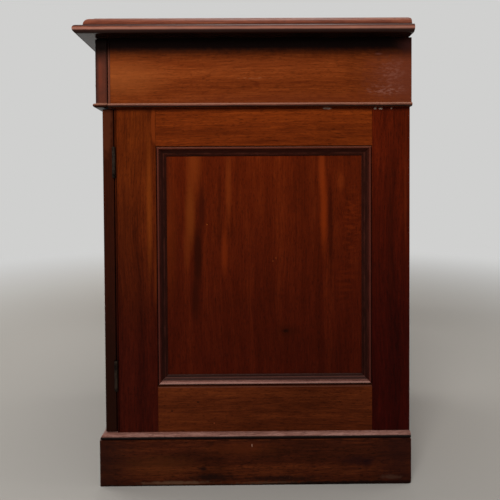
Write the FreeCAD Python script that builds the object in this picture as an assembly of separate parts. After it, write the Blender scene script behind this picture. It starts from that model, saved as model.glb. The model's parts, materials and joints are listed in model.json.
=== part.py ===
"""Mahogany pedestal desk of the later nineteenth century, in millimetres.

The desk is a top section with three drawers, standing on two pedestals. The left pedestal holds
three drawers and the right one is a cupboard. All the drawer fronts and the door lap the edges of
their carcasses, and the door hangs on two butt hinges at the outer front corner. Both outer ends
are framed and panelled.

The origin is on the floor under the middle of the desk. +X is to the sitter's right, the drawers
face -Y, and +Z is up. The right-hand end, at +X, is the end that a visitor sees.
"""

import FreeCAD
import Part
import math
import os

Vector = FreeCAD.Vector

# Whole desk
desk_width = 1219.0
desk_height = 762.0
top_depth = 533.4
top_shrinkage = 4.8
top_overhang = 27.0

# Top board: a round nose, a ledge, a riser, an ovolo and a small fillet, on the front and both ends
nose_radius = 6.9
ovolo_foot = 12.8
ovolo_riser = 2.8
ovolo_radius = 13.2
ovolo_fillet = 1.7
leather_border = 74.0
leather_thickness = 1.2
leather_corner = 4.0

# Top section: ends, back, rails, bead and the boards that carry its drawers
frieze_height = 111.0
frieze_end_thickness = 20.0
frieze_top_rail = 14.0
frieze_bottom_rail = 15.5
frieze_divider = 18.0
frieze_back_thickness = 10.0
dustboard_thickness = 9.0
kicker_width = 14.0
bead_height = 6.5
bead_reach = 3.6

# Pedestals
pedestal_width = 340.0
pedestal_setback = 8.0
lap_gap = 1.4
lipping_thickness = 3.4
lipping_groove = 0.7
side_thickness = 22.0
inner_side_thickness = 20.0
back_thickness = 9.0
back_rebate = 8.0
bottom_board = 20.0
sub_top = 18.0
drawer_rail = 16.0
rail_depth = 46.0
runner_width = 24.0

# Plinth and its cap moulding
plinth_height = 75.3
plinth_reach = 8.5
plinth_thickness = 20.0
plinth_corner = 2.5
cap_height = 9.7
cap_reach = 7.2
cap_quirk_height = 2.4
cap_quirk_depth = 1.6

# Framed ends and door
end_stile_front = 67.5
end_stile_back = 62.0
end_rail_top = 62.2
end_rail_bottom = 87.1
door_thickness = 17.5
door_stile = 60.0
door_rail_top = 62.0
door_rail_bottom = 76.0
door_clearance = 1.2
panel_thickness = 6.5
panel_recess = 6.5
panel_groove = 8.0
panel_play = 0.4
tenon_length = 32.0
tenon_shoulder = 12.0

# Moulding round each panel: quirk, bead, cove and a low inner bead
mould_quirk = 1.3
mould_quirk_floor = 3.0
mould_bead_radius = 1.9
mould_bead_proud = 0.5
mould_cove_width = 7.4
mould_cove_sag = 1.3
mould_foot_height = 2.0
mould_foot_width = 3.6

# Shelf in the cupboard
shelf_thickness = 16.0
shelf_share = 0.493
shelf_setback = 30.0
shelf_play = 0.5
batten_width = 18.0
batten_height = 22.0

# Drawers
frieze_front_thickness = 18.7
front_gap = 1.4
front_arris = 0.8
drawer_float = 0.3
drawer_side_thickness = 9.5
drawer_side_play = 1.0
drawer_side_drop = 3.0
drawer_bottom_thickness = 6.0
drawer_bottom_lift = 9.0
drawer_bottom_groove = 4.0
drawer_back_drop = 6.0
drawer_back_play = 12.0
pedestal_drawer_shares = (0.315, 0.335, 0.35)
housing_depth = 7.0
dovetail_pitch = 27.0
dovetail_slope = 0.17

# Turned knobs
knob_reach = 26.0
knob_head_radius = 18.0
knob_collar_radius = 11.5
knob_collar_height = 3.0
knob_neck_radius = 7.5
knob_dome_rise = 4.0
knob_rim_height = 7.0
knob_spigot_radius = 5.0
knob_dome_share = 0.88
knob_throat_share = 0.82
knob_spacing_share = 0.29
door_knob_share = 0.5

# Locks: brass keyhole lining, case and bolt
keyhole_radius = 2.3
keyhole_slot = 1.1
keyhole_drop = 8.0
escutcheon_wall = 1.4
escutcheon_depth = 4.0
escutcheon_proud = 0.3
lock_width = 44.0
lock_height = 30.0
lock_thickness = 9.0
lock_top_clearance = 2.0
door_lock_width = 34.0
door_lock_height = 58.0
door_lock_share = 0.6
door_lock_inset = 3.0
bolt_length = 22.0
bolt_height = 14.0
bolt_thickness = 4.0
bolt_play = 0.3
strike_depth = 8.0

# Butt hinges
hinge_height = 50.0
hinge_leaf_width = 15.0
hinge_leaf_thickness = 1.5
hinge_knuckle_radius = 2.8
hinge_pin_radius = 1.3
hinge_pin_proud = 1.5
hinge_running_fit = 0.05
hinge_clearance = 0.3
hinge_knuckles = 5
hinge_upper_drop = 86.8
hinge_lower_rise = 93.8
screw_shank_radius = 1.5
screw_head_radius = 2.7
screw_length = 14.0
screws_per_leaf = 3

# Pegs that locate the top section on the pedestals
peg_radius = 6.0
peg_play = 0.3
peg_depth = 12.0
peg_inset = 90.0

# One overrun for every cut
overrun = 5.0

# Levels and faces that the pieces share
total_depth = top_depth + top_shrinkage
y_nose = -total_depth / 2
y_back = total_depth / 2
y_top_back = y_back - top_shrinkage
y_frieze = y_nose + top_overhang
y_case = y_frieze + frieze_front_thickness + lap_gap
y_pedestal = y_frieze + pedestal_setback
y_carcass = y_pedestal + door_thickness + lap_gap
y_plinth = y_pedestal - plinth_reach
x_nose = desk_width / 2
x_frieze = x_nose - top_overhang
x_end = x_frieze - pedestal_setback
x_plinth = x_end + plinth_reach
x_inner = x_end - pedestal_width
z_ovolo_top = desk_height - ovolo_fillet
z_ovolo_foot = z_ovolo_top - ovolo_radius
z_ledge = z_ovolo_foot - ovolo_riser
z_under = z_ledge - 2 * nose_radius
z_deck = z_under - frieze_height
z_dust_top = z_deck + frieze_bottom_rail
z_rail = z_under - frieze_top_rail
z_cap = plinth_height + cap_height
z_floor_board = plinth_height + bottom_board
z_sub_top = z_deck - sub_top
z_door = z_cap + door_clearance
door_height = z_deck - door_clearance - z_door
door_knob_height = z_door + door_knob_share * door_height
door_lock_centre = z_door + door_lock_share * door_height
shelf_height = z_floor_board + shelf_share * (z_sub_top - z_floor_board)
top_moulding = ovolo_foot + ovolo_radius
hinge_axis_x = x_end + hinge_pin_proud
hinge_axis_y = y_carcass - lap_gap / 2


def box(x0, x1, y0, y1, z0, z1):
    """Box between two corners."""
    return Part.makeBox(x1 - x0, y1 - y0, z1 - z0, Vector(x0, y0, z0))


def outline(points):
    """Closed face from corner points."""
    return Part.Face(Part.makePolygon(points + points[:1]))


def line(a, b):
    """Straight edge."""
    return Part.LineSegment(a, b).toShape()


def arc(a, through, b):
    """Circular edge from a to b that passes through the middle point."""
    return Part.Arc(a, through, b).toShape()


def mirrored(shape):
    """The left-hand copy of a right-hand piece."""
    return shape.mirror(Vector(0, 0, 0), Vector(1, 0, 0))


def placed(shape, origin, along, up, out):
    """Moves a piece drawn with its length on x, height on y and face on z to its place."""
    rotation = FreeCAD.Rotation(along, up, out, "XYZ")
    return shape.transformed(FreeCAD.Placement(origin, rotation).toMatrix())


def write(name, *solids):
    """Writes one node as a STEP file of its separate solids."""
    for solid in solids:
        if not solid.isValid() or len(solid.Solids) != 1:
            raise ValueError(f"{name}: a piece is not one valid solid")
    made = solids[0] if len(solids) == 1 else Part.makeCompound(list(solids))
    made.exportStep(f"parts/{name}.step")


# Top board and its leather

def edge_section(tip, inward):
    """Edges of the moulded edge from the underside up: tip is the nose, inward is +1 or -1."""
    def at(a, z):
        return Vector(tip + inward * a, 0, z)
    half = math.sqrt(0.5)
    return [
        arc(at(nose_radius, z_under), at(0, z_under + nose_radius), at(nose_radius, z_ledge)),
        line(at(nose_radius, z_ledge), at(ovolo_foot, z_ledge)),
        line(at(ovolo_foot, z_ledge), at(ovolo_foot, z_ovolo_foot)),
        arc(
            at(ovolo_foot, z_ovolo_foot),
            at(top_moulding - half * ovolo_radius, z_ovolo_foot + half * ovolo_radius),
            at(top_moulding, z_ovolo_top),
        ),
        line(at(top_moulding, z_ovolo_top), at(top_moulding, desk_height)),
    ]


def top_across_width():
    """The top as run between its two moulded ends."""
    flat = x_nose - top_moulding
    root = x_nose - nose_radius
    upper = line(Vector(-flat, 0, desk_height), Vector(flat, 0, desk_height))
    lower = line(Vector(root, 0, z_under), Vector(-root, 0, z_under))
    ends = edge_section(-x_nose, 1) + edge_section(x_nose, -1)
    wire = Part.Wire(Part.__sortEdges__(ends + [upper, lower]))
    run = Part.Face(wire).extrude(Vector(0, y_top_back - y_nose, 0))
    return run.translate(Vector(0, y_nose, 0))


def top_across_depth():
    """The top as run along its moulded front, with a square back."""
    depth = y_top_back - y_nose
    upper = line(Vector(top_moulding, 0, desk_height), Vector(depth, 0, desk_height))
    back = line(Vector(depth, 0, desk_height), Vector(depth, 0, z_under))
    lower = line(Vector(depth, 0, z_under), Vector(nose_radius, 0, z_under))
    wire = Part.Wire(Part.__sortEdges__(edge_section(0, 1) + [upper, back, lower]))
    run = Part.Face(wire).extrude(Vector(0, desk_width, 0))
    turned = run.rotate(Vector(0, 0, 0), Vector(0, 0, 1), 90)
    return turned.translate(Vector(x_nose, y_nose, 0))


def leather_block(top):
    """Round-cornered block of the leather's outline, from its bed up to the level given."""
    block = box(
        -x_nose + leather_border, x_nose - leather_border,
        y_nose + leather_border, y_top_back - leather_border,
        desk_height - leather_thickness, top,
    )
    uprights = [e for e in block.Edges if e.Vertexes[0].Z != e.Vertexes[1].Z]
    return block.makeFillet(leather_corner, uprights)


def make_top():
    """Top board, moulded on three sides, with its leather let in flush."""
    board = top_across_width().common(top_across_depth()).Solids[0]
    write("top_board", board.cut(leather_block(desk_height + overrun)).Solids[0])
    write("writing_leather", leather_block(desk_height))


# Mouldings

def moulding(section, reach, length, origin, along, out, start, end):
    """Length of moulding along a corner line, which runs so that the face is on its left from above.

    The section is drawn with y out of the face and z up, and runs along x. start and end are 1
    for an outside mitre, -1 for an inside mitre and 0 for a square end.
    """
    low = section.BoundBox.ZMin - overrun
    high = section.BoundBox.ZMax + overrun
    bar = section.extrude(Vector(length + 2 * reach, 0, 0)).translate(Vector(-reach, 0, 0))
    plan = outline([
        Vector(0, 0, low),
        Vector(length, 0, low),
        Vector(length + end * reach, reach, low),
        Vector(-start * reach, reach, low),
    ])
    cut = bar.common(plan.extrude(Vector(0, 0, high - low))).Solids[0]
    return placed(cut, origin, along, out, along.cross(out))


def bead_section():
    """Half-round bead with a short flat root."""
    radius = bead_height / 2
    flat = bead_reach - radius
    edges = [
        line(Vector(0, 0, 0), Vector(0, flat, 0)),
        arc(Vector(0, flat, 0), Vector(0, bead_reach, radius), Vector(0, flat, bead_height)),
        line(Vector(0, flat, bead_height), Vector(0, 0, bead_height)),
        line(Vector(0, 0, bead_height), Vector(0, 0, 0)),
    ]
    return Part.Face(Part.Wire(edges))


def cap_section():
    """Plinth cap: an ovolo over a small quirk."""
    neck = cap_reach - cap_quirk_depth
    half = math.sqrt(0.5)
    shoulder = Vector(0, cap_reach, cap_quirk_height)
    middle = Vector(0, half * cap_reach, cap_quirk_height + half * (cap_height - cap_quirk_height))
    edges = [
        line(Vector(0, 0, 0), Vector(0, neck, 0)),
        line(Vector(0, neck, 0), Vector(0, neck, cap_quirk_height)),
        line(Vector(0, neck, cap_quirk_height), shoulder),
        arc(shoulder, middle, Vector(0, 0, cap_height)),
        line(Vector(0, 0, cap_height), Vector(0, 0, 0)),
    ]
    return Part.Face(Part.Wire(edges))


def mould_width():
    """Width of the panel moulding across its quirk, bead, cove and foot."""
    return mould_quirk + 2 * mould_bead_radius + mould_cove_width + mould_foot_width


def panel_mould_section():
    """Panel moulding, from the frame's edge inwards on y and out of the panel on z."""
    top = panel_recess + mould_bead_proud
    spring = top - mould_bead_radius
    bead_in = mould_quirk + 2 * mould_bead_radius
    cove_in = bead_in + mould_cove_width
    cove_foot = mould_foot_height / 2
    corners = [
        Vector(0, 0, 0),
        Vector(0, 0, mould_quirk_floor),
        Vector(0, mould_quirk, mould_quirk_floor),
        Vector(0, mould_quirk, spring),
    ]
    cove_middle = Vector(
        0,
        (bead_in + cove_in - mould_cove_sag) / 2,
        (spring + cove_foot - mould_cove_sag) / 2,
    )
    inner = Vector(0, mould_width(), 0)
    crest = Vector(0, mould_quirk + mould_bead_radius, top)
    edges = [line(a, b) for a, b in zip(corners, corners[1:])]
    edges.append(arc(corners[-1], crest, Vector(0, bead_in, spring)))
    edges.append(arc(Vector(0, bead_in, spring), cove_middle, Vector(0, cove_in, cove_foot)))
    foot_middle = Vector(0, cove_in + mould_foot_width / 2, mould_foot_height)
    edges.append(arc(Vector(0, cove_in, cove_foot), foot_middle, inner))
    edges.append(line(inner, corners[0]))
    return Part.Face(Part.Wire(edges))


# Framed panels, drawn with width on x, height on y and the show face at z = 0

def frame_parts(width, height, thickness, stile_a, stile_b, rail_top, rail_bottom):
    """Stiles, rails, panel and mitred moulding of one framed panel.

    The rails are tenoned into the stiles, and the panel lies loose in a groove round the frame.
    """
    groove_front = -panel_recess
    groove_back = groove_front - panel_thickness
    x0, x1, y0, y1 = stile_a, width - stile_b, rail_bottom, height - rail_top

    def housing(play):
        return box(
            x0 - panel_groove + play, x1 + panel_groove - play,
            y0 - panel_groove + play, y1 + panel_groove - play,
            groove_back, groove_front,
        )

    tenons = []
    rails = []
    for low, high, tenon_low, tenon_high in (
        (0, y0, tenon_shoulder, y0 - panel_groove),
        (y1, height, y1 + panel_groove, height - tenon_shoulder),
    ):
        pair = [
            box(x0 - tenon_length, x0, tenon_low, tenon_high, groove_back, groove_front),
            box(x1, x1 + tenon_length, tenon_low, tenon_high, groove_back, groove_front),
        ]
        rail = box(x0, x1, low, high, -thickness, 0).fuse(pair).removeSplitter()
        rails.append(rail.cut(housing(0)).Solids[0])
        tenons += pair
    stiles = [
        box(0, x0, 0, height, -thickness, 0).cut([housing(0)] + tenons).Solids[0],
        box(x1, width, 0, height, -thickness, 0).cut([housing(0)] + tenons).Solids[0],
    ]
    section = panel_mould_section()
    runs = [
        (Vector(x0, y0, groove_front), Vector(1, 0, 0), Vector(0, 1, 0), x1 - x0),
        (Vector(x1, y0, groove_front), Vector(0, 1, 0), Vector(-1, 0, 0), y1 - y0),
        (Vector(x1, y1, groove_front), Vector(-1, 0, 0), Vector(0, -1, 0), x1 - x0),
        (Vector(x0, y1, groove_front), Vector(0, -1, 0), Vector(1, 0, 0), y1 - y0),
    ]
    mouldings = [
        moulding(section, mould_width(), length, start, along, inward, -1, -1)
        for start, along, inward, length in runs
    ]
    return {"stiles": stiles, "rails": rails, "panel": housing(panel_play), "mouldings": mouldings}


# Hinges, drawn about the door's pin

def hinge_levels():
    """Lowest height of each hinge."""
    upper = z_door + door_height - hinge_upper_drop
    lower = z_door + hinge_lower_rise
    return [upper - hinge_height / 2, lower - hinge_height / 2]


def pin_axis(radius, low, high):
    """Upright cylinder about the hinge pin's axis."""
    return Part.makeCylinder(radius, high - low, Vector(hinge_axis_x, hinge_axis_y, low))


def leaf_face(side):
    """The leaf's show face: -1 for the door's leaf, 1 for the carcass's."""
    return hinge_axis_y + side * lap_gap / 2


def leaf_plate(side, low):
    """Flat of a leaf, let into the wood from the lap joint."""
    faces = sorted([leaf_face(side), leaf_face(side) + side * hinge_leaf_thickness])
    return box(hinge_axis_x - hinge_leaf_width, hinge_axis_x, faces[0], faces[1], low, low + hinge_height)


def leaf_screws(side, low):
    """Countersunk screws of a leaf."""
    x = hinge_axis_x - (hinge_leaf_width + hinge_knuckle_radius) / 2
    pitch = hinge_height / screws_per_leaf
    into = Vector(0, side, 0)
    made = []
    for n in range(screws_per_leaf):
        seat = Vector(x, leaf_face(side), low + (n + 0.5) * pitch)
        head = Part.makeCone(screw_head_radius, screw_shank_radius, hinge_leaf_thickness, seat, into)
        shank = Part.makeCylinder(screw_shank_radius, screw_length, seat, into)
        made.append(head.fuse(shank).removeSplitter().Solids[0])
    return made


def hinge_leaf(side, low):
    """One leaf with its knuckles. The second and fourth knuckles are the door's."""
    pitch = hinge_height / hinge_knuckles
    leaf = leaf_plate(side, low)
    bore = hinge_pin_radius if side > 0 else hinge_pin_radius + hinge_running_fit
    for n in range(hinge_knuckles):
        mine = (n % 2 == 1) == (side < 0)
        z0, z1 = low + n * pitch, low + (n + 1) * pitch
        if mine:
            leaf = leaf.fuse(pin_axis(hinge_knuckle_radius, z0 + hinge_running_fit, z1 - hinge_running_fit))
        else:
            leaf = leaf.cut(pin_axis(hinge_knuckle_radius + hinge_clearance, z0, z1))
    leaf = leaf.cut(pin_axis(bore, low - overrun, low + hinge_height + overrun))
    return leaf.cut(leaf_screws(side, low)).removeSplitter().Solids[0]


def hinge_recess(side):
    """All that the hinges on one side of the lap joint take out of the wood."""
    around = hinge_knuckle_radius + hinge_clearance
    cuts = []
    for low in hinge_levels():
        cuts.append(leaf_plate(side, low))
        cuts.append(pin_axis(around, low - hinge_clearance, low + hinge_height + hinge_clearance))
        cuts += leaf_screws(side, low)
    return cuts


def make_hinges():
    """Leaves, pins and screws of both hinges."""
    fixed = []
    moving = []
    for low in hinge_levels():
        fixed.append(hinge_leaf(1, low))
        fixed.append(pin_axis(hinge_pin_radius, low, low + hinge_height))
        fixed += leaf_screws(1, low)
        moving.append(hinge_leaf(-1, low))
        moving += leaf_screws(-1, low)
    write("hinge_carcass_leaves", *fixed)
    write("hinge_door_leaves", *moving)


# Knobs and locks, drawn at the origin facing -Y

def dome(radius, rise, tip):
    """Edge of a spherical dome from its rim to its tip on the axis, which points along -Y."""
    ball = (radius ** 2 + rise ** 2) / (2 * rise)
    half = math.asin(radius / ball) / 2
    middle = Vector(ball * math.sin(half), tip + ball * (1 - math.cos(half)), 0)
    return arc(Vector(radius, tip + rise, 0), middle, Vector(0, tip, 0))


def knob(x, y, z, spigot):
    """Turned knob with a collar, a waisted neck and a domed head, glued in by its spigot."""
    tip = -knob_reach
    dome_radius = knob_head_radius * knob_dome_share
    rim = tip + knob_dome_rise + knob_rim_height / 2
    throat = Vector(knob_head_radius * knob_throat_share, rim + knob_rim_height / 2, 0)
    points = [
        Vector(0, tip, 0),
        Vector(0, spigot, 0),
        Vector(knob_spigot_radius, spigot, 0),
        Vector(knob_spigot_radius, 0, 0),
        Vector(knob_collar_radius, 0, 0),
        Vector(knob_collar_radius, -knob_collar_height, 0),
    ]
    waist = Vector(knob_neck_radius, (throat.y - knob_collar_height) / 2, 0)
    edges = [line(a, b) for a, b in zip(points, points[1:])]
    edges.append(arc(points[-1], waist, throat))
    edges.append(arc(throat, Vector(knob_head_radius, rim, 0), Vector(dome_radius, tip + knob_dome_rise, 0)))
    edges.append(dome(dome_radius, knob_dome_rise, tip))
    turned = Part.Face(Part.Wire(edges)).revolve(Vector(0, 0, 0), Vector(0, 1, 0), 360)
    return turned.translate(Vector(x, y, z))


def spigot_hole(x, y, z, depth):
    """Hole that a knob's spigot is glued into."""
    return Part.makeCylinder(knob_spigot_radius, depth, Vector(x, y, z), Vector(0, 1, 0))


def keyhole(grow, y0, y1):
    """Keyhole prism, a round eye with a slot below it."""
    eye = Part.makeCylinder(keyhole_radius + grow, y1 - y0, Vector(0, y0, 0), Vector(0, 1, 0))
    slot = box(-keyhole_slot - grow, keyhole_slot + grow, y0, y1, -keyhole_drop - grow, 0)
    return eye.fuse(slot).removeSplitter().Solids[0]


def escutcheon(place):
    """Brass lining of the keyhole, let into the wood and standing a little proud."""
    ring = keyhole(escutcheon_wall, -escutcheon_proud, escutcheon_depth)
    return ring.cut(keyhole(0, -overrun, escutcheon_depth + overrun)).Solids[0].translate(place)


def key_way(place, depth):
    """Bed of the escutcheon and the key's way behind it."""
    bed = keyhole(escutcheon_wall, -overrun, escutcheon_depth)
    return bed.fuse(keyhole(0, 0, depth)).translate(place)


def bolt_block(root, across, length, grow):
    """Upright bolt, or its way: root is the middle of its lower end, across its width on x."""
    half = bolt_thickness / 2 + grow
    return box(
        root.x - across / 2, root.x + across / 2,
        root.y - half, root.y + half,
        root.z, root.z + length,
    )


# Drawers

def tails(x0, x1, y_root, y_tip, z0, z1):
    """Dovetails between two heights, widening from root to tip."""
    count = max(1, round((z1 - z0) / dovetail_pitch))
    pitch = (z1 - z0) / count
    spread = abs(y_tip - y_root) * dovetail_slope
    quarter = pitch / 4
    made = []
    for n in range(count):
        middle = z0 + (n + 0.5) * pitch
        made.append(outline([
            Vector(x0, y_root, middle - quarter),
            Vector(x0, y_root, middle + quarter),
            Vector(x0, y_tip, middle + quarter + spread),
            Vector(x0, y_tip, middle - quarter - spread),
        ]).extrude(Vector(x1 - x0, 0, 0)))
    return made


def sliding_tail(x0, x1, y, z0, z1):
    """Upright tapered tongue that joins a side to the back of its overlapping front."""
    spread = housing_depth * dovetail_slope
    return outline([
        Vector(x0 + spread, y, z0),
        Vector(x1 - spread, y, z0),
        Vector(x1, y - housing_depth, z0),
        Vector(x0, y - housing_depth, z0),
    ]).extrude(Vector(0, 0, z1 - z0))


def make_drawer(name, opening, face, y_face, thickness, y_end):
    """Writes a drawer's box and knobs, and returns its front for the work that is left on it.

    opening and face are (x0, x1, z0, z1) of the carcass opening and of the overlapping front.
    """
    x0, x1, z0, z1 = opening
    fx0, fx1, fz0, fz1 = face
    y_in = y_face + thickness
    low = z0 + drawer_float
    side_top = z1 - drawer_side_drop
    bottom_z = low + drawer_bottom_lift
    tail_low = bottom_z + drawer_bottom_thickness
    y_back_board = y_end - drawer_side_thickness
    sx0, sx1 = x0 + drawer_side_play, x1 - drawer_side_play
    inner0, inner1 = sx0 + drawer_side_thickness, sx1 - drawer_side_thickness

    bottom = box(
        inner0 - drawer_bottom_groove, inner1 + drawer_bottom_groove,
        y_in - drawer_bottom_groove, y_end, bottom_z, tail_low,
    )
    sides = []
    tongues = []
    rear_tails = []
    for a, b in ((sx0, inner0), (inner1, sx1)):
        tongue = sliding_tail(a, b, y_in, low, side_top)
        rearward = tails(a, b, y_back_board, y_end, tail_low, side_top - drawer_back_drop)
        side = box(a, b, y_in, y_back_board, low, side_top).fuse([tongue] + rearward).removeSplitter()
        sides.append(side.cut(bottom).Solids[0])
        tongues.append(tongue)
        rear_tails += rearward
    back = box(sx0, sx1, y_back_board, y_end, tail_low, side_top - drawer_back_drop).cut(rear_tails)

    step = knob_spacing_share * (x1 - x0)
    middle_x, middle_z = (x0 + x1) / 2, (fz0 + fz1) / 2
    places = [(middle_x - step, middle_z), (middle_x + step, middle_z)]
    front = box(fx0, fx1, y_face, y_in, fz0, fz1)
    front = front.makeFillet(front_arris, front.Edges)
    front = front.cut(tongues + [bottom] + [spigot_hole(x, y_face, z, thickness) for x, z in places])

    write(f"{name}_box", *sides, back.Solids[0], bottom)
    write(f"{name}_knobs", *[knob(x, y_face, z, thickness) for x, z in places])
    return front.Solids[0]


# Top section

def frieze_openings():
    """Name, clear width and front width of each drawer in the top section."""
    edge = x_frieze - frieze_end_thickness
    outer = x_inner + frieze_divider
    meet = x_inner + frieze_divider / 2
    near, far = meet - front_gap / 2, meet + front_gap / 2
    return [
        ("left_top_drawer", (-edge, -outer), (-x_frieze, -far)),
        ("centre_top_drawer", (-x_inner, x_inner), (-near, near)),
        ("right_top_drawer", (outer, edge), (far, x_frieze)),
    ]


def peg_places():
    """Where the locating pegs stand, two on each pedestal."""
    x = x_end - pedestal_width / 2
    return [(side * x, y) for side in (-1, 1) for y in (y_carcass + peg_inset, y_back - peg_inset)]


def front_uprights(shape, y):
    """Upright edges of a box on its face at y."""
    return [e for e in shape.Edges if all(v.Y == y and v.X == e.Vertexes[0].X for v in e.Vertexes)]


def joint_groove(x, y, z0, z1):
    """Small V groove in the outer face at x, along the upright joint at y."""
    reach = lipping_groove + overrun
    return outline([
        Vector(x - lipping_groove, y, z0 - overrun),
        Vector(x + overrun, y - reach, z0 - overrun),
        Vector(x + overrun, y + reach, z0 - overrun),
    ]).extrude(Vector(0, 0, z1 - z0 + 2 * overrun))


def lipping(x0, x1, y, z0, z1):
    """Facing strip glued on a carcass side's front edge, with eased front corners."""
    strip = box(x0, x1, y, y + lipping_thickness, z0, z1)
    return strip.makeFillet(front_arris, front_uprights(strip, y))


def frieze_lock(middle_x, key_z):
    """Case, keyhole lining and bolt of one top drawer's lock, and the ways that they need."""
    y_in = y_frieze + frieze_front_thickness
    top = z_rail - lock_top_clearance
    place = Vector(middle_x, y_frieze, key_z)
    left, right = middle_x - lock_width / 2, middle_x + lock_width / 2
    case = box(left, right, y_in, y_in + lock_thickness, top - lock_height, top)
    root = Vector(middle_x, y_in + lock_thickness / 2, top - bolt_length)
    tip = Vector(middle_x, root.y, top)
    way_root = Vector(middle_x, root.y, root.z - bolt_play)
    way = bolt_block(way_root, bolt_height + 2 * bolt_play, bolt_length + overrun, bolt_play)
    key = keyhole(0, 0, frieze_front_thickness + lock_thickness / 2).translate(place)
    mortise_height = lock_top_clearance + strike_depth
    return {
        "case": case.cut([way, key]).Solids[0],
        "escutcheon": escutcheon(place),
        "bolt": bolt_block(root, bolt_height, bolt_length, 0),
        "mortise": bolt_block(tip, bolt_height + 4 * bolt_play, mortise_height, 2 * bolt_play),
        "key_way": key_way(place, frieze_front_thickness),
    }


def front_bead(x0, x1, left, right):
    """Bead along the foot of a top drawer's front, returned along its edge at a corner of the desk."""
    section = bead_section()
    length = frieze_front_thickness
    start = Vector(x1, y_frieze, z_deck)
    runs = [moulding(section, bead_reach, x1 - x0, start, Vector(-1, 0, 0), Vector(0, -1, 0), right, left)]
    if left:
        start = Vector(x0, y_frieze, z_deck)
        runs.append(moulding(section, bead_reach, length, start, Vector(0, 1, 0), Vector(-1, 0, 0), 1, 0))
    if right:
        start = Vector(x1, y_frieze + length, z_deck)
        runs.append(moulding(section, bead_reach, length, start, Vector(0, -1, 0), Vector(1, 0, 0), 0, 1))
    return runs


def make_top_drawers(y_board):
    """The three drawers of the top section. Returns the mortises for their bolts."""
    mortises = []
    y_end = y_board - drawer_back_play
    key_z = (z_deck + z_under) / 2 + keyhole_drop
    returns = ((1, 0), (0, 0), (0, 1))
    for (name, clear, front), corners in zip(frieze_openings(), returns):
        opening = (*clear, z_dust_top, z_rail)
        face = (*front, z_deck, z_under - front_gap)
        lock = frieze_lock((clear[0] + clear[1]) / 2, key_z)
        board = make_drawer(name, opening, face, y_frieze, frieze_front_thickness, y_end)
        write(f"{name}_front", board.cut(lock["key_way"]).Solids[0], *front_bead(*front, *corners))
        write(f"{name}_lock", lock["case"], lock["escutcheon"])
        write(f"{name}_lock_bolt", lock["bolt"])
        mortises.append(lock["mortise"])
    return mortises


def make_frieze():
    """Carcass of the top section, and its drawers."""
    y_board = y_back - frieze_back_thickness
    y_behind = y_case + rail_depth
    edge = x_frieze - frieze_end_thickness
    y_lip = y_case + lipping_thickness

    low, high = z_deck - overrun, z_under + overrun
    rebate = box(edge - overrun, edge + back_rebate, y_board, y_back + overrun, low, high)
    groove = joint_groove(x_frieze, y_lip, z_deck, z_under)
    end = box(edge, x_frieze, y_lip, y_back, z_deck, z_under).cut([rebate, groove]).Solids[0]
    lip = lipping(edge, x_frieze, y_case, z_deck, z_under).cut(groove).Solids[0]
    start = Vector(x_frieze, y_back, z_deck)
    depth = y_back - y_case
    bead = moulding(bead_section(), bead_reach, depth, start, Vector(0, -1, 0), Vector(1, 0, 0), 0, 0)
    write("frieze_end_right", end, lip)
    write("frieze_end_left", mirrored(end), mirrored(lip))
    write("frieze_end_beads", bead, mirrored(bead))
    reach = edge + back_rebate
    write("frieze_back_board", box(-reach, reach, y_board, y_back, z_deck, z_under))

    top_rail = box(-edge, edge, y_case, y_behind, z_rail, z_under)
    bottom_rail = box(-edge, edge, y_case, y_behind, z_deck, z_dust_top)
    write("frieze_rails", top_rail.cut(make_top_drawers(y_board)).Solids[0], bottom_rail)

    partitions = []
    kickers = []
    for side in (-1, 1):
        xs = sorted((side * x_inner, side * (x_inner + frieze_divider)))
        partitions.append(box(*xs, y_case, y_board, z_dust_top, z_under).cut(top_rail).Solids[0])
    for _, (x0, x1), _ in frieze_openings():
        kickers.append(box(x0, x0 + kicker_width, y_behind, y_board, z_rail, z_under))
        kickers.append(box(x1 - kicker_width, x1, y_behind, y_board, z_rail, z_under))
    write("frieze_partitions", *partitions, *kickers)

    dust_low = z_dust_top - dustboard_thickness
    dust = box(-edge, edge, y_behind, y_board, dust_low, z_dust_top)
    for x, y in peg_places():
        foot = Vector(x, y, dust_low - overrun)
        dust = dust.cut(Part.makeCylinder(peg_radius + peg_play, dustboard_thickness + 2 * overrun, foot))
    write("frieze_dustboard", dust.Solids[0])


# Pedestals

def end_frame():
    """Outer end of the right pedestal as separate pieces in their place."""
    y_lip = y_carcass + lipping_thickness
    parts = frame_parts(
        y_back - y_lip, z_deck - plinth_height, side_thickness,
        end_stile_front - lipping_thickness, end_stile_back, end_rail_top, end_rail_bottom,
    )
    origin = Vector(x_end, y_lip, plinth_height)

    def place(shape):
        return placed(shape, origin, Vector(0, 1, 0), Vector(0, 0, 1), Vector(1, 0, 0))

    inner_face = x_end - side_thickness
    rebate = box(
        inner_face - overrun, inner_face + back_rebate,
        y_back - back_thickness, y_back + overrun, plinth_height - overrun, z_deck + overrun,
    )
    groove = joint_groove(x_end, y_lip, plinth_height, z_deck)
    stiles = [place(s).cut([rebate, groove]).Solids[0] for s in parts["stiles"]]
    strip = lipping(inner_face, x_end, y_carcass, plinth_height, z_deck).cut(groove).Solids[0]
    return {
        "end_frame": stiles + [strip] + [place(r) for r in parts["rails"]],
        "end_panel": [place(parts["panel"])],
        "end_moulding": [place(m) for m in parts["mouldings"]],
    }


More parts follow.
